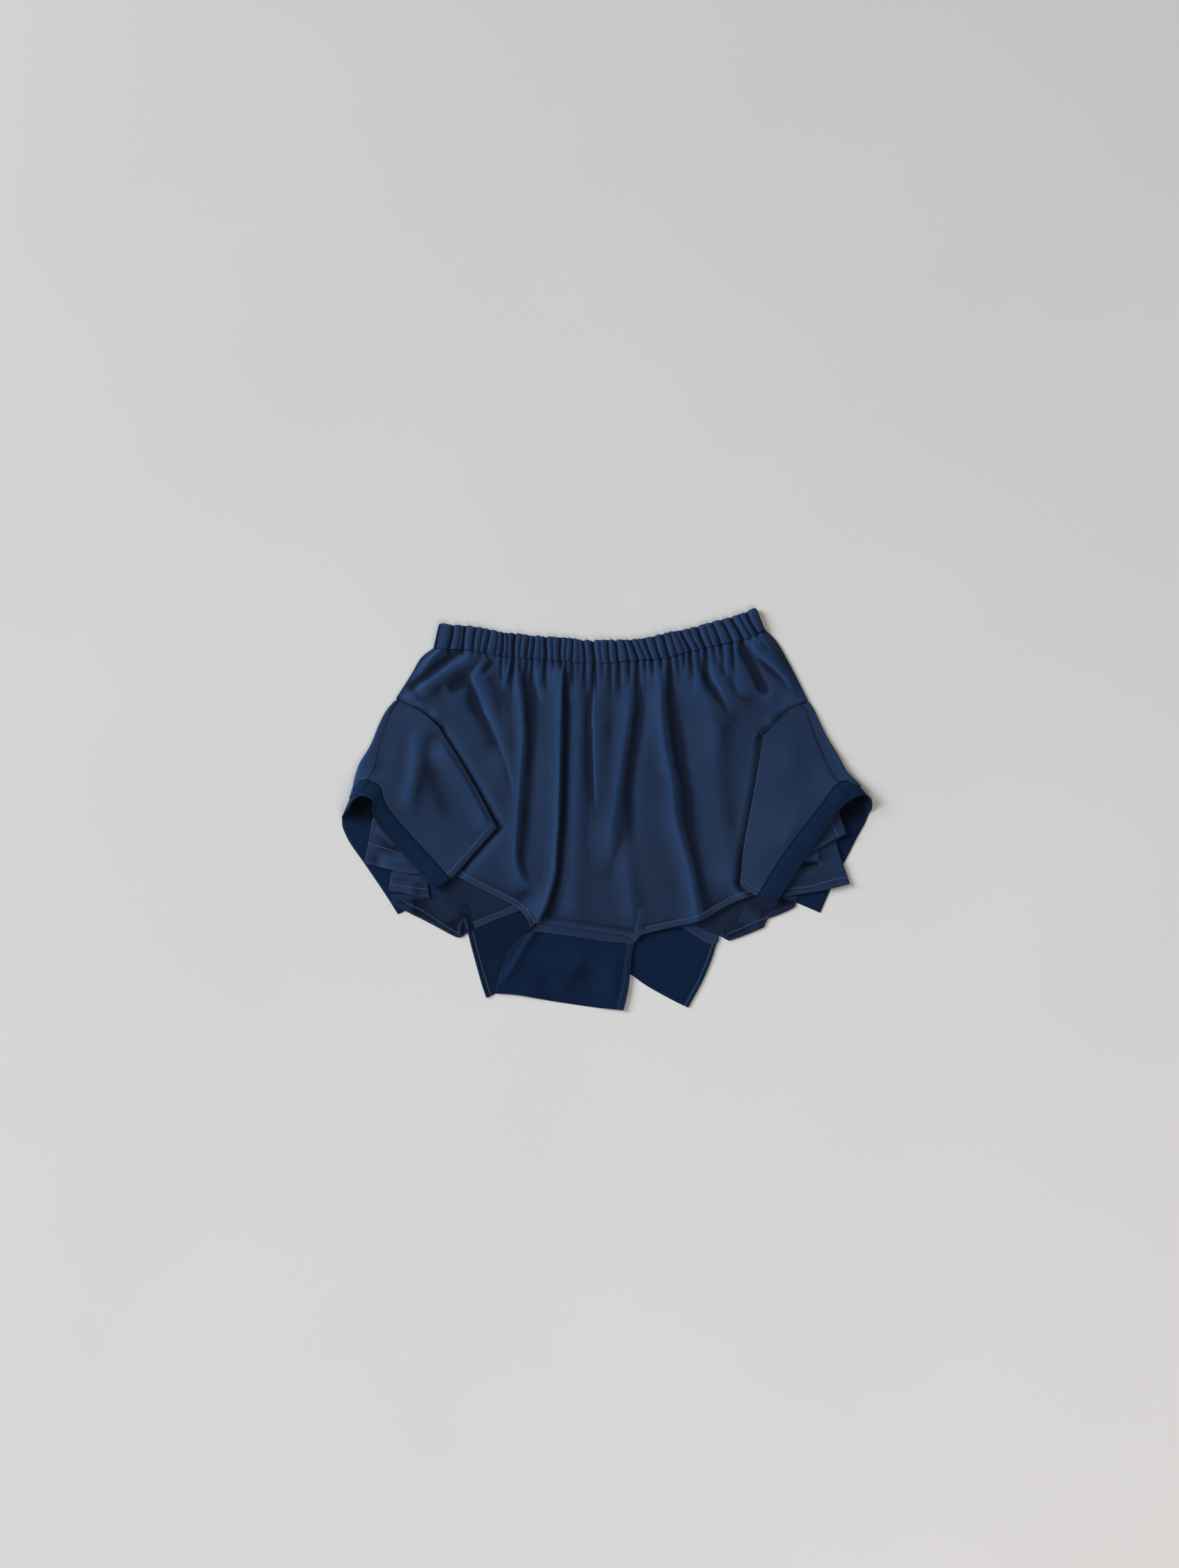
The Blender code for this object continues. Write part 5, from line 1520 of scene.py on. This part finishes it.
@dataclass(frozen=True)
class Studio:
    """The pale floor, the soft light and the camera straight above."""

    middle: tuple[float, float] = (-0.0198, 0.02865)
    frame_height: float = 1.7696
    lens: float = 70.0
    sensor: float = 36.0

    def build(self) -> None:
        """Set the floor, the lights and the camera."""
        self._floor()
        self._light("Window", (-5.6, 2.2, 3.4), 3.6, 640.0, (0.82, 0.91, 1.0))
        self._light("Ceiling", (0.9, -1.9, 2.6), 2.0, 32.0, (1.0, 0.955, 0.90))
        world = bpy.data.worlds.new("Room")
        world.use_nodes = True
        world.node_tree.nodes["Background"].inputs["Color"].default_value = (1.0, 0.97, 0.94, 1)
        world.node_tree.nodes["Background"].inputs["Strength"].default_value = 0.22
        bpy.context.scene.world = world
        bpy.context.scene.view_settings.view_transform = "Standard"
        data = bpy.data.cameras.new("Above")
        data.lens, data.sensor_width, data.sensor_fit = self.lens, self.sensor, "AUTO"
        data.clip_end = 20
        camera = bpy.data.objects.new("Above", data)
        camera.location = (*self.middle, self.frame_height * self.lens / self.sensor)
        bpy.context.scene.collection.objects.link(camera)
        bpy.context.scene.camera = camera

    def _light(self, name: str, place: tuple[float, float, float], size: float, power: float,
               colour: tuple[float, float, float]) -> None:
        """Add a square lamp that faces the skirt."""
        data = bpy.data.lights.new(name, "AREA")
        data.size, data.energy, data.color = size, power, colour
        lamp = bpy.data.objects.new(name, data)
        lamp.location = place
        lamp.rotation_euler = (-Vector(place)).to_track_quat("-Z", "Y").to_euler()
        bpy.context.scene.collection.objects.link(lamp)

    def _floor(self) -> None:
        """Lay the pale floor, with a painted light gradient and soft mottling."""
        mesh = bpy.data.meshes.new("floor")
        reach = 6.0
        mesh.from_pydata([(x * reach, y * reach, 0) for x, y in ((-1, -1), (1, -1), (1, 1), (-1, 1))], [],
                         [(0, 1, 2, 3)])
        floor = bpy.data.objects.new("floor", mesh)
        bpy.context.scene.collection.objects.link(floor)
        finish = FinishTree("pale floor")
        place = finish.wire(finish.add("ShaderNodeTexCoord"), "Object")
        soft = finish.noise(place, 3.0, 5.0)
        axes = finish.add("ShaderNodeSeparateXYZ", None, Vector=place)
        # Painted light: the floor's colour grows lighter towards the right and the bottom.
        painted_light_gradient = finish.wire(axes, 0) * 0.40 - finish.wire(axes, 1) * 0.37
        share = (painted_light_gradient + (soft - 0.5) * 0.3 + 0.5).clamped()
        colour = finish.mixed(share, (0.608, 0.577, 0.557, 1), (0.769, 0.730, 0.703, 1))
        finish.feed("Base Color", colour)
        finish.feed("Roughness", 0.85)
        floor.data.materials.append(finish.material)


def make_finishes() -> Finishes:
    """The skirt's materials."""
    # In each finish, lit is a painted highlight colour and deep a painted shade colour.
    panel = ClothFinish("navy pique", ground=(0.0128, 0.0272, 0.0665), faded=(0.042, 0.060, 0.102),
                        lit=(0.017, 0.054, 0.146), deep=(0.0030, 0.0062, 0.018), pitch=0.0032, slant=1.0,
                        grain=0.0006, roughness=0.9, sheen=0.05)
    sleeve = ClothFinish("navy sleeve pique", ground=(0.0130, 0.0285, 0.069), faded=(0.038, 0.056, 0.098),
                         lit=(0.016, 0.050, 0.138), deep=(0.0030, 0.0062, 0.018), pitch=0.0022, slant=0.7,
                         grain=0.0003, roughness=0.88, sheen=0.05)
    rib = ClothFinish("dark flat knit", ground=(0.0012, 0.0105, 0.038), faded=(0.011, 0.031, 0.076),
                      lit=(0.004, 0.025, 0.078), deep=(0.0010, 0.003, 0.009), pitch=0.0014, slant=0.2,
                      grain=0.0002, roughness=0.84, sheen=0.0)
    return Finishes(panel.material(), sleeve.material(), rib.material(), ThreadFinish().material())


# Sections of the sleeves' back halves, from the armhole to the cuff: inner edge, outline, seam, bulge.
LEFT_SLEEVE_BACK = [BackStation(*row) for row in (
    ((-233.0, 114.6), (-239.2, 122.4), (-236.2, 121.8, 2.7)),
    ((-226.5, 98.0), (-249.2, 110.2), (-243.2, 110.0, 3.2)),
    ((-222.2, 90.0), (-257.2, 94.5), (-250.0, 91.0, 3.8)),
    ((-217.5, 66.0), (-266.5, 72.0), (-255.8, 72.0, 4.8)),
    ((-214.5, 44.0), (-278.0, 53.0), (-259.8, 51.0, 7.0)),
    ((-213.5, 10.0), (-283.4, 38.0), (-264.0, 40.8, 9.6)),
    ((-220.0, -24.0), (-286.4, 24.6), (-265.8, 38.2, 11.2), 1.2),
    ((-253.5, -48.6), (-290.2, 12.4), (-268.4, 33.8, 12.2), 5.7))]
RIGHT_SLEEVE_BACK = [BackStation(*row) for row in (
    ((221.5, 108.0), (228.6, 121.0), (219.8, 117.8, 2.7)),
    ((217.0, 97.0), (235.0, 110.4), (226.0, 109.6, 3.2)),
    ((214.4, 88.0), (240.8, 97.6), (230.4, 96.0, 3.8)),
    ((212.2, 64.0), (250.4, 78.4), (236.8, 78.4, 4.8)),
    ((210.8, 42.0), (260.8, 61.6), (244.8, 60.0, 6.2)),
    ((210.6, 10.0), (272.0, 41.0), (251.8, 44.0, 9.0)),
    ((216.0, -24.0), (280.4, 33.0), (257.2, 36.0, 11.0), 1.2),
    ((240.6, -58.0), (286.9, 26.4), (261.6, 31.4, 12.6), 3.4))]
# Lines across the cuffs, from the strand on the floor round the outer fold to the strand on top: free
# edge, sewn edge.
LEFT_CUFF = [CuffStation(*row) for row in (
    ((-235.3, -118.1, 0), (-224.6, -113.2, 0)), ((-250.0, -94.9, 0), (-233.0, -86.0, 0)),
    ((-273.0, -61.1, 0), (-246.0, -45.0, 0)), ((-289.0, -38.3, 0), (-259.0, -20.0, 0)),
    ((-296.8, -22.3, 0), (-266.0, -4.0, 0)), ((-298.2, -15.0, 0.4), (-275.0, 11.0, 0)),
    ((-298.2, -11.4, 2.6), (-284.0, 16.4, 0.8)), ((-298.2, -9.0, 6.0), (-287.6, 15.6, 4.6)),
    ((-295.6, -4.4, 9.6), (-286.7, 16.6, 8.2)), ((-291.0, 1.0, 12.6), (-283.6, 24.4, 10.2)),
    ((-285.6, 9.6, 14.6), (-279.6, 30.6, 11.8)), ((-276.4, 15.0, 15.6), (-271.0, 33.4, 12.9)),
    ((-269.6, 14.4, 15.6), (-265.6, 31.9, 13.2)), ((-264.0, 11.0, 14.8), (-259.6, 29.6, 13.0)),
    ((-261.8, 4.6, 13.4), (-253.8, 23.6, 12.0)), ((-262.3, -4.0, 11.6), (-250.3, 11.6, 11.0)),
    ((-257.0, -17.7, 10.4), (-242.5, -3.0, 9.9)), ((-241.0, -37.1, 9.7), (-224.0, -24.8, 9.3)),
    ((-218.0, -63.4, 9.7), (-199.9, -50.9, 8.9)), ((-205.6, -77.1, 9.5), (-187.3, -65.1, 8.5)),
    ((-193.3, -91.0, 7.2), (-175.3, -78.2, 7.2)))]
RIGHT_CUFF = [CuffStation(*row) for row in (
    ((240.9, -116.6, 0), (212.5, -104.4, 0)), ((252.3, -90.9, 0), (222.0, -76.0, 0)),
    ((267.5, -61.1, 0), (240.0, -45.0, 0)), ((281.4, -33.7, 0), (252.0, -16.0, 0)),
    ((290.6, -17.0, 0), (261.0, 2.0, 0)), ((295.6, -5.4, 0), (272.5, 22.0, 0)),
    ((299.4, 1.0, 2.6), (281.0, 28.6, 0.8)), ((299.3, 7.4, 6.2), (284.0, 27.6, 5.0)),
    ((297.2, 12.6, 9.8), (281.6, 27.4, 8.6)), ((291.4, 16.0, 12.8), (277.5, 31.0, 10.8)),
    ((284.0, 15.8, 14.4), (270.5, 32.6, 12.2)), ((274.6, 11.0, 15.0), (262.6, 30.4, 12.8)),
    ((266.6, 5.1, 14.2), (254.6, 24.4, 12.4)), ((258.6, -6.3, 12.6), (244.9, 9.7, 11.4)),
    ((249.4, -18.9, 11.4), (236.9, -0.6, 10.6)), ((241.0, -30.4, 10.9), (226.0, -14.6, 10.0)),
    ((232.3, -41.7, 10.6), (215.0, -28.4, 9.6)), ((218.6, -62.3, 9.9), (200.3, -48.6, 9.1)),
    ((203.6, -86.6, 8.6), (184.0, -73.6, 8.2)), ((191.1, -105.1, 7.2), (170.2, -97.4, 7.2)))]
SHOULDER_FOLDS = [
    ShoulderFold("shoulder_fold_left_upper", [(-246, 1), (-255, -4), (-263.9, -10.9)],
                 [(-263.9, -10.9), (-268.4, -37.1), (-273, -60)],
                 [(-197, -72), (-225, -72), (-241, -68.6), (-259.3, -64), (-273, -60)],
                 [(-246, 1), (-226, -28), (-197, -72)], 4.7, 7.8, (0.09, 0.065),
                 [(-268.4, -38.7), (-250, -43.9), (-230.7, -50.7)],
                 (Crease([(-262, -20), (-248, -28), (-234, -40)], 1.2, 6, 6),)),
    ShoulderFold("shoulder_fold_left_lower", [(-204, -58), (-222, -60), (-241.5, -61.5)],
                 [(-241.5, -61.5), (-243.4, -76), (-245.6, -91.4)],
                 [(-199.9, -100), (-215, -97.2), (-230.7, -93.7), (-245.6, -91.4)],
                 [(-204, -58), (-202, -80), (-199.9, -100)], 4.5, 4.5, (0.065, 0.036),
                 [(-243.3, -83.9), (-225, -87.3), (-202, -90.7)],
                 (Crease([(-243, -72), (-225, -75), (-205, -79)], 0.9, 5, 5),)),
    ShoulderFold("shoulder_fold_right_upper", [(245, -3), (252, -3), (261.4, -4)],
                 [(261.4, -4), (265.4, -13), (270.6, -28)],
                 [(214, -60), (226, -50), (236.9, -44.6), (263, -30.9), (270.6, -28)],
                 [(245, -3), (229, -28), (214, -60)], 7.4, 7.4, (0.055, 0.04),
                 [(251.4, -13), (256, -21), (261.0, -30.3)]),
    ShoulderFold("shoulder_fold_right_lower", [(238, -22), (248, -28), (257.8, -32)],
                 [(257.8, -32), (264.3, -54.3), (274.6, -84)],
                 [(198, -98.3), (214, -96.2), (230, -93.7), (252.9, -89.7), (274.6, -84)],
                 [(238, -22), (214, -64), (198, -98.3)], 4.4, 4.4, (0.085, 0.065),
                 [(270, -77), (252.9, -80.4), (230, -86.7), (204.9, -90.1)],
                 (Crease([(214, -55), (228, -56.5), (241, -56.5)], 2.4, 8, 2.0, 0.12, 0.4),
                  Crease([(214, -63), (228, -61.5), (240, -60)], -1.6, 2.0, 3.0, 0.12)))]


def make_sleeves(finishes: Finishes) -> list[Sleeve]:
    """Both sleeves, from their own edges."""
    left = Sleeve(
        Side.LEFT, finishes, LEFT_ARMHOLE, LEFT_FOLD, LEFT_SLIT, LEFT_SLEEVE_BACK, LEFT_CUFF,
        top_from=12, fold_share=8 / 14, flat_front=(0.13, 0.165),
        creases=[
            Crease([(-211, 106), (-214, 80), (-216, 50), (-222, 20), (-230, -12)], 2.6, 8, 10, 0.35),
            Crease([(-196, 86), (-183, 66), (-167, 42), (-149, 10), (-134, -16), (-128, -34)],
                   3.0, 5, 17, 0.2),
            Crease([(-203, 84), (-198, 50), (-188, 10), (-172, -30)], -0.6, 9, 9, 0.4)],
        joins=[[(-270.7, 30.9), (-277, 20.6)], [(-267.9, 29.7), (-274, 19.4)]])
    right = Sleeve(
        Side.RIGHT, finishes, RIGHT_ARMHOLE[1:], RIGHT_FOLD, RIGHT_SLIT, RIGHT_SLEEVE_BACK, RIGHT_CUFF,
        top_from=11, fold_share=11 / 14, flat_front=(0.095, 0.185),
        creases=[
            Crease([(206, 106), (206, 70), (203, 20)], 1.2, 12, 12, 0.45),
            Crease([(222, 12), (212, -10), (200, -34), (188, -56)], 0.9, 7, 9, 0.4)],
        joins=[[(260.9, 28), (274, 13)], [(258.4, 26.4), (271, 11)]])
    return [left, right]


def sewing_runs(front: FrontPanel, collar: Collar, sleeves: Sequence[Sleeve]) -> list[StitchRun]:
    """Every run of stitching that shows."""
    hem = front.hem_line()
    left_of_drape, right_of_drape = hem[:96], hem[212:]
    left_rear = np.array([(-230.7, -102.9), (-206.7, -114.9), (-179.3, -133.1), (-167.9, -139.4)])
    right_rear = np.array([(182.4, -122), (168, -126.8), (152, -134.8), (136, -141.2)])
    runs = [StitchRun(path, "front_panel_cloth", "front_hem_stitches", 6.0, pitch=1.6, slant=62)
            for path in (left_of_drape, right_of_drape)]
    runs += [StitchRun(chain([armhole], 40), "front_panel_cloth", "armhole_stitches", inset, 2, 1.8)
             for armhole, inset in ((LEFT_ARMHOLE, 4.2), (RIGHT_ARMHOLE, -4.2))]
    runs += [StitchRun(path, "back_panel_cloth", "back_hem_stitches", pitch=1.5, slant=52)
             for path in (left_rear, right_rear)]
    runs += [StitchRun(spaced(sleeve.slit, 60), f"sleeve_{sleeve.side.value}_front_cloth",
                       "sleeve_hem_stitches", -6.4 * sleeve.side.sign, pitch=1.6, slant=62)
             for sleeve in sleeves]
    runs += [StitchRun(spaced(fold.stitch, 60), fold.name + "_cloth", "shoulder_fold_stitches",
                       pitch=1.5, slant=62) for fold in SHOULDER_FOLDS]
    left_leaf = np.array(collar.left_leaf)[[1, 3, 4, 6]]
    right_leaf = np.array(collar.right_leaf)[1:]
    centre = np.array(collar.centre_right)[::2]
    runs += [StitchRun(left_leaf, "collar_leaf_left_cloth", "collar_stitches", 5.4, pitch=1.3, slant=55),
             StitchRun(right_leaf, "collar_leaf_right_cloth", "collar_stitches", -4.0, pitch=1.3,
                       slant=55),
             StitchRun(centre, "collar_center_cloth", "collar_stitches", -6.0, 2)]
    return runs


def main() -> None:
    """Build the skirt, sew it and set the studio."""
    logging.basicConfig(level=logging.INFO, format="%(message)s")
    finishes = make_finishes()
    band = Waistband(finishes)
    front, collar, sleeves = FrontPanel(finishes, band), Collar(finishes), make_sleeves(finishes)
    pieces = band.build() + front.build() + BackPanel(finishes).build()
    for sleeve in sleeves:
        pieces += sleeve.build()
    pieces += collar.build() + [fold.piece(finishes) for fold in SHOULDER_FOLDS]
    cloths = {piece.name: piece.build() for piece in pieces}
    sewing = Sewing(finishes, cloths)
    groups: dict[str, list[StitchRun]] = {}
    for run in sewing_runs(front, collar, sleeves):
        groups.setdefault(run.group, []).append(run)
    threads: dict[str, list[bpy.types.Object]] = {}
    for group, members in groups.items():
        stitched = sewing.build(group, members)
        threads.setdefault(members[0].on, []).append(stitched)
    for piece in pieces:
        piece.declare(cloths[piece.name], threads.get(piece.name, ()))
    Studio().build()


if __name__ == "__main__":
    main()
